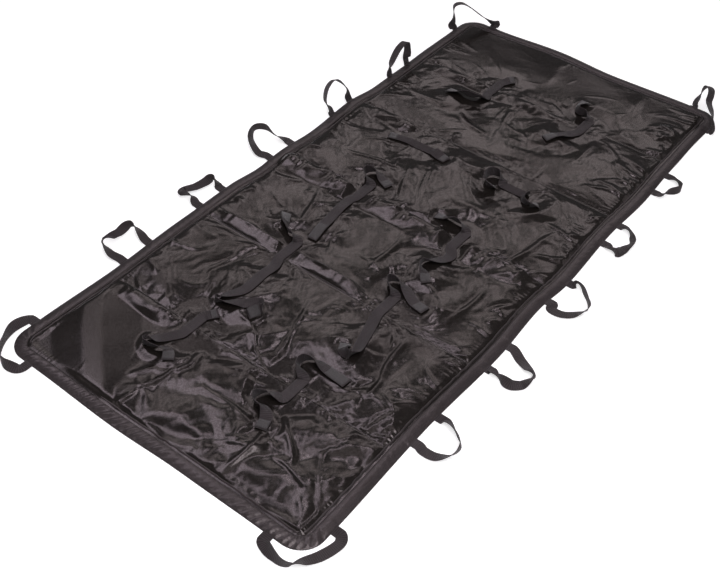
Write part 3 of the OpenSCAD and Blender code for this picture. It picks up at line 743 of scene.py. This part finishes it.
chance = np.random.default_rng(7)


def far_from(anchor, x, y):
    return np.hypot(x - anchor[0], y - anchor[1])


def pull_of(anchor, x, y, spread):
    return math.atan2(y - anchor[1], x - anchor[0]) + chance.normal(0, spread)


def fold_at(x, y, turn, long, tall, thin):
    dx, dy = math.cos(turn) * long / 2, math.sin(turn) * long / 2
    return x - dx, y - dy, x + dx, y + dy, tall, thin


for _ in range(SMALL_COUNT):
    x, y = chance.uniform(-880, 880), chance.uniform(-390, 390)
    near = min(ANCHORS, key=lambda a: far_from(a, x, y))
    pull = pull_of(near, x, y, 0.35)
    free = chance.choice([0.6, -0.5, 1.4, -1.2]) + chance.normal(0, 0.3)
    turn = pull if far_from(near, x, y) < PULL_REACH else free
    long, tall, thin = chance.uniform(40, 150), chance.uniform(0.6, 2.2), chance.uniform(4, 8)
    FOLDS.append(fold_at(x, y, turn, long, tall, thin))
for n in range(FINE_COUNT):
    x, y = chance.uniform(-900, 900), chance.uniform(-395, 395)
    near = min(ANCHORS, key=lambda a: far_from(a, x, y))
    if n % 3 < 2:
        turn, far = chance.uniform(0, 2 * math.pi), chance.uniform(35, 150)
        near = ANCHORS[n % len(ANCHORS)]
        x, y = near[0] + far * math.cos(turn), near[1] + far * math.sin(turn)
    pull = pull_of(near, x, y, 0.4)
    turn = pull if far_from(near, x, y) < PULL_REACH else chance.uniform(0, math.pi)
    long, tall, thin = chance.uniform(20, 90), chance.uniform(0.4, 1.3), chance.uniform(2.2, 4)
    FINE_FOLDS.append(fold_at(x, y, turn, long, tall, thin))
for n in range(EDGE_COUNT):
    x, side = chance.uniform(-640, 900), -1 if n % 4 else 1
    turn, long = math.pi / 2 + chance.normal(0, 0.5), chance.uniform(35, 115)
    tall, thin = chance.uniform(1.5, 4), chance.uniform(4.5, 9)
    y = side * (COVER_EDGE - abs(math.sin(turn) * long / 2))
    FOLDS.append(fold_at(x, y, turn, long, tall, thin))


def folds(x, y, which=FOLDS):
    px = x + (9 * np.sin(x / 37 + y / 61) + 6 * np.sin(y / 29 - x / 53))
    py = y + (9 * np.sin(y / 41 - x / 67) + 6 * np.sin(x / 31 + y / 47))
    height = np.zeros_like(px)
    for x0, y0, x1, y1, tall, thin in which:
        long = math.hypot(x1 - x0, y1 - y0)
        ax, ay = (x1 - x0) / long, (y1 - y0) / long
        close = np.abs(px - (x0 + x1) / 2) + np.abs(py - (y0 + y1) / 2) < long + 8 * thin
        a = ((px[close] - x0) * ax + (py[close] - y0) * ay) / long
        d = ((py[close] - y0) * ax - (px[close] - x0) * ay) / thin
        d = np.where(d > 0, d * 1.5, d * 0.8)
        ends = step_up((a + 0.15) / 0.4) * step_up((1.15 - a) / 0.4)
        height[close] += tall * ends / (1 + d * d) ** 1.5
    return height


print(len(FOLDS) + len(KEPT_FOLDS), "folds and", len(FINE_FOLDS), "fine ones")

# %% [markdown]
# Sewing draws thin cloth together, so rows of tiny gathers stand at the seams and at the hem, in bursts. At the head
# and at the left foot corner the cloth lies smooth instead. There it mirrors the lamps as a whole, and at the foot a
# few low waves, given as heights across them, turn the mirror image into slanting light and dark bands.

# %% Gathers and smooth zones
FLAT_ZONES = ((-945, -670, 110, 411, 1), (690, 930, -330, 411, 0.7))
BAND_TURN = (0.74, -0.67)
BAND_LEVELS = [(-960, 0), (-926, -3), (-900, -3), (-831, 5), (-788, 5), (-690, -5), (-640, -5), (-580, 3), (-490, 3)]


def off_seams(x, seams=CROSS_SEAMS):
    return np.min(np.abs(x[:, None] - seams), axis=1)


def ripples(along, number):
    bursts = np.maximum(np.sin(along / 41 + number * 2.3) + 0.7 * np.sin(along / 17 + number), 0)
    return np.sin(along / 1.8 + 4 * np.sin(along / 29 + number) + 2 * np.sin(along / 11)) * bursts


def gathers(x, y):
    number, off = np.abs(x[:, None] - SEAMS).argmin(axis=1), off_seams(x, SEAMS)
    side = INNER_W / 2 - np.abs(y)
    reach = 9 + 8 * np.sin(x / 53) ** 2
    across = 0.4 * ripples(y, number) * np.exp(-off / 9) * step_up(off / 4)
    return across + 1.1 * ripples(x, np.sign(y)) * np.exp(-np.maximum(side, 0) / reach) * step_up(side / 4)


def foot_bands(x, y):
    across, along = x * BAND_TURN[0] + y * BAND_TURN[1], y * BAND_TURN[0] - x * BAND_TURN[1]
    wobble = 4 * np.sin(along / 60) + np.sin(along / 17)
    return np.interp(across + wobble, *zip(*BAND_LEVELS)) * (x < 0)


def flatness(x, y):
    zones = []
    for x0, x1, y0, y1, share in FLAT_ZONES:
        ends = share * step_up((x - x0) / 30) * step_up((x1 - x) / 30)
        zones.append(ends * step_up((y - y0) / 60) * step_up((y1 - y) / 16))
    return np.max(zones, axis=0)


print(len(FLAT_ZONES), "smooth zones, bands", BAND_LEVELS[-1][0] - BAND_LEVELS[0][0], "mm across in all")

# %% [markdown]
# Before it buckles, the cover has a calm shape: each section swells and carries its folds, and cloth doubles over
# beside a seam into a pleat that leans over it. A pleat has its own height and width, and its crest is crinkled.

# %% Shape of the cover before it buckles
PLEAT_SIZES = {1: (7, 24), 2: (10, 26), 3: (13.5, 40), 4: (8, 25), 5: (7, 25)}
LEAST_RISE = 0.8


def pleat_shape(seam, side, e):
    tall, wide = PLEAT_SIZES[seam]
    if side < 0:
        height = tall * step_up(e / 14) * np.clip((24 + wide - e) / wide, 0, 1)
        return height, 9 * step_up(e / 10) * (1 - step_up((e - 14) / 26))
    height = tall * np.clip(e / wide, 0, 1) * (1 - step_up((e - wide - 2) / 12))
    return height, 8 * step_up((e - 6) / 18) * (1 - step_up((e - 28) / 14))


def on_pleats(x, y):
    return pleats(x, y, lambda e: step_up((e + 12) / 10) * step_up((80 - e) / 14))


def swelling(x, y):
    return (1 - np.exp(-off_seams(x) / 14)) * (5 + 0.8 * waves(x, y))


def cover_points(x, y):
    inside = step_up((INNER_W / 2 - np.abs(y)) / 8) * step_up((INNER_LEN / 2 - np.abs(x)) / 8)
    seam = step_up(off_seams(x) / 9)
    flat = flatness(x, y)
    crinkle = 1 + 0.1 * np.sin(y / 8 + 3 * np.sin(y / 19)) + 0.12 * np.sin(y / 31) + 0.1 * np.sin(y / 13 + x / 9)
    swells = inside * (swelling(x, y) + seam * (1 - 0.8 * on_pleats(x, y)) * folds(x, y))
    faint = 0.12 * np.sin(x / 45 + y / 60) + 0.1 * np.sin(y / 38 - x / 71)
    level = 4 + faint + inside * foot_bands(x, y)
    z = SPOT_Z + calm(x, y) * ((1 - flat) * swells + flat * level + inside * seam * folds(x, y, KEPT_FOLDS))
    free, lean = calm(x, y, 18, 20), 0
    for which in PLEATS:
        number, side = which[:2]
        z += free * crinkle * pleats(x, y, lambda e: pleat_shape(number, side, e)[0], [which])
        lean = lean + free * pleats(x, y, lambda e: pleat_shape(number, side, e)[1] * (e > 0), [which])
    return np.stack([x + lean, y, np.maximum(z, COVER_Z + LEAST_RISE)], axis=1)


print("pleats up to", max(tall for tall, _ in PLEAT_SIZES.values()), "mm high")

# %% [markdown]
# The cover must not rise through the straps that lie on it. Spots on the underside of all straps are put in a tree
# that finds the nearest ones, and for any place they give the height that is free there and the distance to a strap.

# %% Room under the straps
SPOT_SHARES = (-0.5, -0.25, 0, 0.25, 0.5)
NEAR_SPOTS, SPOT_REACH, ROOF_RISE = 6, 6, 0.6
STRAP_SPOTS = []
for i in range(len(STRAPS)):
    mids, wide, _ = strip_frames(strap_route(i)[0])
    STRAP_SPOTS += [mids + wide * STRAP_W * share - (0, 0, STRAP_T / 2 + PAD_T) for share in SPOT_SHARES]
STRAP_SPOTS = np.concatenate(STRAP_SPOTS)
STRAP_TREE = KDTree(len(STRAP_SPOTS))
for n, spot in enumerate(STRAP_SPOTS):
    STRAP_TREE.insert((spot[0], spot[1], 0), n)
STRAP_TREE.balance()


def strap_room(x, y):
    roof, gap = np.empty(len(x)), np.empty(len(x))
    for n, (a, b) in enumerate(zip(x, y)):
        found = STRAP_TREE.find_n((a, b, 0), NEAR_SPOTS)
        gap[n] = found[0][2]
        roof[n] = min(STRAP_SPOTS[k][2] + ROOF_RISE * max(far - SPOT_REACH, 0) for _, k, far in found)
    return roof, gap


print(len(STRAP_SPOTS), "spots under the straps")

# %% [markdown]
# Slack nylon buckles by itself into small sharp creases, which no drawn fold can match. A short cloth simulation lets
# the sheet grow by a small share where it is slack, near the straps, at the foot end and in patches, while hem, seams
# and anchors hold it. Gravity is off, because the sheet already lies where it should.

# %% Buckling of the slack
GROWTH, SIM_FRAMES = 0.022, 24


def slackness(x, y, gap):
    patch = np.sin(x / 83 + y / 119 + 2) * np.sin(y / 91 - x / 137) + 0.5 * np.sin(x / 47 + 1) * np.sin(y / 53)
    share = 0.05 + 0.65 * np.exp(-(gap / 42) ** 2) + 0.16 * step_up(patch * 1.6) + 0.4 * step_up((-560 - x) / 80)
    return np.clip(share * (1 - flatness(x, y)) * (1 - 0.85 * on_pleats(x, y)), 0, 1)


def crumple(piece, x, y, gap):
    held = (off_seams(x, SEAMS) < 1) | (np.abs(y) > INNER_W / 2 - 1) | (np.abs(x) > INNER_LEN / 2 - 1)
    for a, b, turn in ANCHORS:
        long, wide = (ANCHOR_LEN / 2, STRAP_W / 2) if turn == 0 else (STRAP_W / 2, ANCHOR_LEN / 2)
        held |= (np.abs(x - a) < long) & (np.abs(y - b) < wide)
    piece.vertex_groups.new(name="held").add(np.flatnonzero(held).tolist(), 1.0, "REPLACE")
    taut = piece.vertex_groups.new(name="taut")
    for n, share in enumerate(slackness(x, y, gap)):
        taut.add([n], 1 - share, "REPLACE")
    modifier = piece.modifiers.new("cloth", "CLOTH")
    settings = modifier.settings
    settings.quality, settings.mass, settings.air_damping = 6, 0.08, 2
    settings.tension_stiffness = settings.compression_stiffness = 18
    settings.shear_stiffness, settings.bending_stiffness = 6, 0.03
    settings.vertex_group_mass, settings.vertex_group_shrink = "held", "taut"
    settings.shrink_min, settings.shrink_max = -GROWTH, 0
    settings.effector_weights.gravity = 0
    modifier.collision_settings.use_collision = False
    modifier.collision_settings.use_self_collision = False
    modifier.point_cache.frame_start, modifier.point_cache.frame_end = 1, SIM_FRAMES
    for frame_number in range(1, SIM_FRAMES + 1):
        scene.frame_set(frame_number)
    pick(piece)
    bpy.ops.object.modifier_apply(modifier="cloth")
    piece.vertex_groups.clear()
    scene.frame_set(1)


print("the slack grows by up to", round(100 * GROWTH, 1), "% in", SIM_FRAMES, "frames")

# %% [markdown]
# The cover is one sheet, but the two end panels fold, and a piece can bend at one fold only. The cover is one sheet,
# made as two halves that meet at the middle seam, each holding one of the two fold lines of the end panels. Its edges
# run under the hem. Columns of the grid fall on the seams and stand closer beside them. After the buckling, each half
# is held between a bed and the straps, made smoother by a subdivision, and given its gathers and finest folds.

# %% Cover
COVER_TUCK, COVER_PITCH, SEAM_ZONE, SEAM_PITCH = 8, 6, 30, 3
BED_DEPTH, BED_SLOPE, BED_REACH, ROOF_ROOM = 2.5, 0.35, 4, 9
FOLD_BEND = 14 * MM


def bend_at_fold(piece, sign):
    x = sign * FOLD_X * MM
    ends = ("middle_panel", "foot_panel" if sign < 0 else "head_panel")
    x - sign * FOLD_BEND
    x + sign * FOLD_BEND
    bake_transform(piece)


def lay(piece, sign, material, nodes):
    dress(piece, material)
    bend_at_fold(piece, sign)
    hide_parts(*nodes)
    print(piece.name, len(piece.data.polygons), "faces")
    return piece


def cover_grid(name, sign):
    stops = [0, SEAM_ZONE, FOLD_X - SEAM_ZONE, FOLD_X, FOLD_X + SEAM_ZONE, OUTER_SEAM_X - SEAM_ZONE, OUTER_SEAM_X,
             INNER_LEN / 2, INNER_LEN / 2 + COVER_TUCK]
    columns = [0.0]
    for a, b in zip(stops, stops[1:]):
        n = max(int(round((b - a) / (SEAM_PITCH if b - a == SEAM_ZONE else COVER_PITCH))), 1)
        columns += [a + (b - a) * k / n for k in range(1, n + 1)]
    columns = np.array(columns) if sign > 0 else -np.array(columns[::-1])
    wide = INNER_W / 2 + COVER_TUCK
    piece = grid(name, len(columns) - 1, int(2 * wide / COVER_PITCH))
    u, v = shares(piece)
    return piece, columns[np.rint(u * (len(columns) - 1)).astype(int)], (2 * v - 1) * wide


covers = []
for end, sign, nodes in (("foot", -1, (1, 2, 3)), ("head", 1, (4, 5, 6))):
    piece, x, y = cover_grid(end + "_cover", sign)
    roof, gap = strap_room(x, y)
    before = cover_points(x, y)
    place(piece, before)
    crumple(piece, x, y, gap)
    flat = flatness(x, y)[:, None]
    after = before * flat + points(piece) / MM * (1 - flat)
    print(piece.name, "moved by up to", np.abs(after - before).max(axis=0).round(1), "mm")
    bed = np.minimum(roof - BED_DEPTH, cover_top(x, y) + 0.5) - BED_SLOPE * np.maximum(gap - BED_REACH, 0)
    ceiling = np.minimum(roof, before[:, 2] + ROOF_ROOM)
    after[:, 2] = np.clip(after[:, 2], np.maximum(bed, COVER_Z + 0.6), ceiling)
    place(piece, after)
    finish(piece, "SUBSURF", levels=1)
    co = points(piece) / MM
    x, y, z = co.T
    plain = (1 - 0.6 * flatness(x, y)) * (1 - 0.7 * on_pleats(x, y))
    fine = gathers(x, y) + calm(x, y, 22, 20) * plain * folds(x, y, FINE_FOLDS)
    co[:, 2] = np.minimum(z + fine, np.maximum(strap_room(x, y)[0], z))
    place(piece, co)
    settle(piece)
    smooth(piece)
    covers.append(lay(piece, sign, taffeta, [f"cover_section_{n}" for n in nodes]))

# %% [markdown]
# The base is a plain coated sheet with rounded corners. It begins as a plane, its two outer corners are bevelled in
# edit mode, and cuts are made beside the fold line. More cuts, in a wide net, let its edges follow the sway.

# %% Base sheet
FOLD_CUTS, CUT_PITCH, BASE_IN = (-14, -9, -5, -2, 0, 2, 5, 9, 14), 40, 2


def base_half(name, sign):
    pick()
    bpy.ops.mesh.primitive_plane_add(size=1, location=(sign * SHEET_LEN / 4 * MM, 0, BASE_T / 2 * MM))
    piece = bpy.context.object
    piece.name = piece.data.name = name
    piece.scale = (SHEET_LEN / 2 * MM, (SHEET_W - BASE_IN) * MM, 1)
    bpy.ops.object.transform_apply(location=True, rotation=True, scale=True)
    bpy.ops.object.mode_set(mode="EDIT")
    bpy.ops.mesh.select_mode(type="VERT")
    bpy.ops.mesh.select_all(action="DESELECT")
    bpy.ops.object.mode_set(mode="OBJECT")
    for corner in piece.data.vertices:
        corner.select = abs(corner.co.x) > SHEET_LEN / 4 * MM
    bpy.ops.object.mode_set(mode="EDIT")
    bpy.ops.mesh.bevel(affect="VERTICES", offset=CORNER_R * MM, segments=14, profile=0.5)
    long_cuts = [sign * FOLD_X + off for off in FOLD_CUTS] + [sign * x for x in range(CUT_PITCH, 920, CUT_PITCH)]
    for axis, cuts in enumerate((long_cuts, range(-360, 400, CUT_PITCH))):
        across = (1 - axis, axis, 0)
        for cut in cuts:
            bpy.ops.mesh.select_all(action="SELECT")
            bpy.ops.mesh.bisect(plane_co=[cut * MM * share for share in across], plane_no=across)
    bpy.ops.object.mode_set(mode="OBJECT")
    return settle(finish(piece, "SOLIDIFY", thickness=BASE_T * MM, offset=0))


BASE_NODES = (("foot", -1, ("foot_base_sheet", "middle_base_sheet")), ("head", 1, ("head_base_sheet",)))
bases = [lay(base_half(end + "_base", sign), sign, coated, nodes) for end, sign, nodes in BASE_NODES]

# %% [markdown]
# The hem is a folded band all round. Across it the cloth rises over a thin inner ridge, dips at the two rows of
# stitches, swells over the webbing inside and rolls down to the floor. The profile lists the distance from the outer
# edge and the height. The band is sewn with some pull, so slanting puckers run across it, most at the foot end.

# %% Hem
HEM_PROFILE = np.array([
    (43, 3.2), (41.6, 3.4), (40.6, 4.8), (39.6, 6.6), (38.2, 7.4), (36.8, 7), (35.8, 5.4), (35, 3.4), (33.8, 2.5),
    (32.2, 2.5), (31.2, 3.6), (30.2, 5.4), (28.4, 6.7), (24, 7.2), (18, 6.9), (12, 5.9), (7, 4.6), (3.5, 3.3),
    (1.2, 2.3), (0.3, 1.5), (0.2, 0.9), (0.9, 0.25), (3, 0.1)])
HEM_PITCH, RIDGE_IN, END_ZONE = 3.0, 31, 80
PUCKER_PITCH, FINE_PUCKER_PITCH, PUCKER_RISE = 21, 11, 1.7


def ring_route(sign, pitch):
    x1, y1 = SHEET_LEN / 2 - CORNER_R, SHEET_W / 2 - CORNER_R
    arc = CORNER_R * math.pi / 2
    stops = np.cumsum([0, x1, arc, 2 * y1, arc, x1])
    s = np.linspace(0, stops[-1], int(stops[-1] / pitch) + 1)
    turn = np.clip((s - stops[1]) / arc, 0, 1) * math.pi / 2 + np.clip((s - stops[3]) / arc, 0, 1) * math.pi / 2
    x = np.interp(s, stops, [0, x1, x1, x1, x1, 0])
    y = np.interp(s, stops, [y1, y1, y1, -y1, -y1, -y1])
    out = np.stack([np.sin(turn), np.cos(turn)], axis=1)
    return s, np.stack([x, y], axis=1) * (sign, 1), out * (sign, 1)


def puckers(s, d, sign, where):
    at_end = np.abs(where[:, 0]) > SHEET_LEN / 2 - END_ZONE
    sides = np.where(where[:, 1] < -300, 0.2, 0.4)
    strength = np.where(at_end, 1.4 if sign < 0 else 0.4, sides)
    slant = s - 0.8 * d + 5 * np.sin(s / 47)
    crest = 0.5 + 0.5 * np.sin(2 * np.pi * slant / PUCKER_PITCH + 2 * np.sin(s / 31))
    ripple = (2 * crest ** 1.8 - 0.9) * (0.7 + 0.3 * np.sin(s / 67 + 1))
    fine = np.sin(2 * np.pi * slant / FINE_PUCKER_PITCH + 2 * np.sin(s / 43))
    ripple += 0.45 * fine * (0.5 + 0.5 * np.sin(s / 59))
    return strength * PUCKER_RISE * ripple * step_up((d - 1) / 6) * step_up((RIDGE_IN - d) / 5)


def over_webbing(where):
    legs = np.array([handle_x(i) + leg * LEG_HALF for i in range(1, 6) for leg in (-1, 1)])
    legs = np.append(legs, [SHEET_LEN / 2 - CORNER_LEG, CORNER_LEG - SHEET_LEN / 2])
    near_side = np.min(np.abs(where[:, :1] - legs), axis=1)
    near_end = np.abs(np.abs(where[:, 1]) - (SHEET_W / 2 - CORNER_LEG))
    side, end = np.abs(where[:, 1]) > SHEET_W / 2 - HEM_W, np.abs(where[:, 0]) > SHEET_LEN / 2 - HEM_W
    return sum(np.where(here, step_up((WEB_W / 2 + 4 - near) / 6), 0)
               for here, near in ((side, near_side), (end, near_end)))


def hem_half(name, sign):
    s, mid, out = ring_route(sign, HEM_PITCH)
    piece = grid(name, len(s) - 1, len(HEM_PROFILE) - 1)
    u, v = shares(piece)
    k, row = np.rint(u * (len(s) - 1)).astype(int), np.rint(v * (len(HEM_PROFILE) - 1)).astype(int)
    s, out, (d, z) = s[k], out[k], HEM_PROFILE[row].T
    where = mid[k] + out * (CORNER_R - d)[:, None]
    lift = puckers(s, d, sign, where) + 1.1 * over_webbing(where) * step_up(d / 3) * step_up((30 - d) / 14)
    ridge = step_up((d - RIDGE_IN) / 2)
    wave = 0.9 * np.sin(s / 7 + 2 * np.sin(s / 19)) * np.sin(s / 61) * ridge
    lift += 0.5 * np.sin(s / 9 + 3 * np.sin(s / 27)) * ridge * step_up((40 - d) / 2)
    place(piece, np.column_stack([where + out * wave[:, None], z + lift]))
    settle(piece)
    if sign < 0:
        bpy.ops.object.mode_set(mode="EDIT")
        bpy.ops.mesh.select_all(action="SELECT")
        bpy.ops.mesh.flip_normals()
        bpy.ops.object.mode_set(mode="OBJECT")
    smooth(piece)
    return piece


hems = [lay(hem_half(end + "_hem", sign), sign, hem_cloth_painted_light, (end + "_binding", side + "_binding"))
        for end, sign, side in (("foot", -1, "left"), ("head", 1, "right"))]

# %% [markdown]
# Sewing thread shows as rows of small stitches: two along the hem, two along each cross seam and a box with a cross
# on each anchor. One stitch is a squashed low sphere, and the rows are copies of it set end to end. A ray from above
# finds the height and the slope of the cloth under each stitch.

# %% Stitches along the hem and the seams
STITCH_PITCH, HEM_ROWS, SEAM_ROW, STITCH_RISE = 4.6, (33, 26), 3, 0.1
pick()
bpy.ops.mesh.primitive_uv_sphere_add(segments=6, ring_count=4, radius=1)
model = bpy.context.object
STITCH_POINTS = points(model)
STITCH_FACES = [list(face.vertices) for face in model.data.polygons]
bpy.data.objects.remove(model)


def stitches(name, rows, long=3.2, thin=0.34):
    places, ways, ups = [np.concatenate(part) for part in zip(*rows)]
    ways = unit(ways)
    sides = unit(np.cross(ups, ways))
    ups = np.cross(ways, sides)
    axes = np.stack([ways * long / 2, sides * thin, ups * thin * 0.7], axis=1)
    body = STITCH_POINTS @ axes + places[:, None]
    count = len(STITCH_POINTS)
    faces = [[v + count * n for v in face] for n in range(len(places)) for face in STITCH_FACES]
    mesh = bpy.data.meshes.new(name)
    mesh.from_pydata((body.reshape(-1, 3) * MM).tolist(), [], faces)
    piece = bpy.data.objects.new(name, mesh)
    scene.collection.objects.link(piece)
    smooth(piece)
    mesh.materials.append(thread)
    return piece


def sewn_row(cloth_tree, x, y):
    spots, ups = [], []
    for a, b in zip(x, y):
        spot, up, _, _ = cloth_tree.ray_cast(Vector((a * MM, b * MM, 0.1)), Vector((0, 0, -1)))
        spots.append(np.array(spot) / MM)
        ups.append(np.array(up) * (1 if up.z > 0 else -1))
    spots, ups = np.array(spots), np.array(ups)
    return spots + ups * STITCH_RISE, np.gradient(spots, axis=0), ups


seam_y = np.arange(-INNER_W / 2 + 4, INNER_W / 2 - 3, STITCH_PITCH)
halves = (("foot", -1, hems[0], covers[0], SEAMS[1:4]), ("head", 1, hems[1], covers[1], SEAMS[4:6]))
for end, sign, hem, cover, seams in halves:
    hem_tree, cover_tree = [BVHTree.FromObject(p, bpy.context.evaluated_depsgraph_get()) for p in (hem, cover)]
    _, mid, out = ring_route(sign, STITCH_PITCH)
    rows = [mid[1:-1] + out[1:-1] * (CORNER_R - d) for d in HEM_ROWS]
    rows = [sewn_row(hem_tree, *(row + sway(*row.T)).T) for row in rows]
    piece = stitches(end + "_hem_stitches", rows)
    bend_at_fold(piece, sign)
    rows = [seam + off for seam in seams for off in ((-SEAM_ROW, SEAM_ROW) if seam != 0 else (-SEAM_ROW,))]
    rows = [sewn_row(cover_tree, row + 0 * seam_y, seam_y) for row in rows]
    piece = stitches(end + "_seam_stitches", rows)
    bend_at_fold(piece, sign)
    print(end, "stitches", len(piece.data.polygons), "faces")

# %% [markdown]
# Each anchor is sewn down by a box with a cross in it, as one unbroken line: round the box, then over both diagonals.

# %% Box stitches on the anchors
BOX_STITCH, BOX_THIN, BOX_END_IN, BOX_SIDE_IN = 2.4, 0.3, 7.5, 3.5
BOX_PITCH = 3.2
a, b = ANCHOR_LEN / 2 - BOX_END_IN, STRAP_W / 2 - BOX_SIDE_IN
BOX = np.array([(-a, -b), (a, -b), (a, b), (-a, b), (-a, -b), (a, b), (a, -b), (-a, b)])
for panel in ("foot", "middle", "head"):
    rows = []
    for x, y, turn in anchors_on(panel):
        cos, sin = math.cos(math.radians(turn)), math.sin(math.radians(turn))
        for (x0, y0), (x1, y1) in zip(BOX, BOX[1:]):
            n = int(math.hypot(x1 - x0, y1 - y0) / BOX_PITCH)
            t = (np.arange(n) + 0.5) / n
            u, v = x0 + (x1 - x0) * t, y0 + (y1 - y0) * t
            z = 0 * t + UPPER_LAYER_Z + STRAP_T / 2
            spot = np.stack([x + u * cos - v * sin, y + u * sin + v * cos, z], axis=1)
            way = [(x1 - x0) * cos - (y1 - y0) * sin, (x1 - x0) * sin + (y1 - y0) * cos, 0]
            rows.append((spot, np.tile(way, (n, 1)), np.tile([0.0, 0, 1], (n, 1))))
    piece = stitches(panel + "_anchor_stitches", rows, BOX_STITCH, BOX_THIN)
    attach(piece, panel + "_panel")
    print(piece.name, len(piece.data.polygons), "faces")

# %% [markdown]
# The photograph was taken on white with almost no shadow, so the floor is a wide white plane that glows a little
# towards the camera, under soft light. The world is white where the camera sees it and dim as a light, because black
# cloth under a bright sky would turn grey.

# %% Floor and world
GLOW, DIM_SKY = 0.6, (0.08, 0.08, 0.083, 1)
pick()
bpy.ops.mesh.primitive_plane_add(size=40, location=(0, 0, -0.0005))
floor = bpy.context.object
floor.name = "white_floor"
white, shader, where, _ = finish_of("white_paper")
feed(shader, Base_Color=where.noise(3.0).tint((0.86, 0.86, 0.86), (0.88, 0.88, 0.88)),
     Roughness=where.noise(40.0) * 0.1 + 0.8,
     Emission_Color=where.node("Is Camera Ray", "ShaderNodeLightPath") * GLOW, Emission_Strength=1)
floor.data.materials.append(white)
world = bpy.data.worlds.new("studio")
scene.world = world
world.use_nodes = True
sky = world.node_tree.nodes["Background"]
feed(sky, Color=DIM_SKY)
dim = Wire(world.node_tree, sky.outputs[0])
bright = dim.node(0, "ShaderNodeBackground", Color=(1, 1, 1, 1))
seen = dim.node("Is Camera Ray", "ShaderNodeLightPath")
feed(world.node_tree.nodes["World Output"], Surface=dim.node(0, "ShaderNodeMixShader", _0=seen, _1=dim, _2=bright))
print("floor", floor.name, "and world", world.name)

# %% [markdown]
# Black shiny cloth shows what it mirrors. From this camera that is the region behind the head end, 25 to 50 degrees
# up, so five softboxes stand there side by side, with narrow dark gaps that streak the cloth. The band lamp hangs
# where the smooth cloth at the foot mirrors it, so that its low waves turn into lit bands. A small glint lamp gives
# the hard lights on sharp creases, two lilac ones show in the steep faces of the pleats, and the front lamp lights
# webbing and hem. Faint softboxes on the other sides and on top are there for views from elsewhere.

# %% Lamps
WARM, LILAC = (1, 0.92, 0.92), (0.97, 0.9, 1)
REAR_BOXES = ((-0.42, 0.55), (-0.17, 0.7), (0.1, 0.75), (0.37, 0.65), (0.61, 0.6))
SIDE_TURNS, SIDE_FAR, CENTRE = (-50, 140, 230), 3.8, (0, 0, 0)


def lamp(name, at, aim, wide, tall, radiance, tint):
    data = bpy.data.lights.new(name, "AREA")
    data.shape, data.size, data.size_y = "RECTANGLE", wide, tall
    data.energy, data.color = radiance * wide * tall * math.pi, tint
    light = bpy.data.objects.new(name, data)
    scene.collection.objects.link(light)
    light.location = at
    light.rotation_euler = (Vector(at) - Vector(aim)).to_track_quat("Z", "Y").to_euler()


for n, (share, wide) in enumerate(REAR_BOXES):
    x, y = 2.93 + 1.94 * share, 2.01 - 2.98 * share
    lamp(f"rear_softbox_{n + 1}", (x, y, 2.92), (x - 2.68, y - 1.75, 0.12), wide, 1.65, 1.25, WARM)
lamp("band_lamp", (0.86, 2.64, 3.0), (-0.83, 0.28, 0), 0.65, 1.7, 0.62, WARM)
lamp("glint_lamp", (1.44, 1.0, 3.6), CENTRE, 0.4, 0.4, 7.5, (1, 0.93, 1))
lamp("left_pleat_lamp", (-0.15, 1.9, 3.18), (-0.3, 0, 0), 1.1, 1.7, 2.4, LILAC)
lamp("right_pleat_lamp", (0.42, 0.76, 3.2), (0, -0.3, 0), 0.55, 0.65, 2.6, LILAC)
lamp("front_lamp", (-1.3, -1.3, 2.62), CENTRE, 2.0, 2.0, 4.6, (1, 0.97, 1))
for n, turn in enumerate(math.radians(degrees) for degrees in SIDE_TURNS):
    at = (SIDE_FAR * math.cos(turn), SIDE_FAR * math.sin(turn), 2.1)
    lamp(f"side_softbox_{n + 1}", at, CENTRE, 3.2, 1.5, 0.38, WARM)
lamp("top_softbox", (0, 0, 4.4), (0, 0.001, 0), 2.6, 1.6, 0.45, WARM)

# %% [markdown]
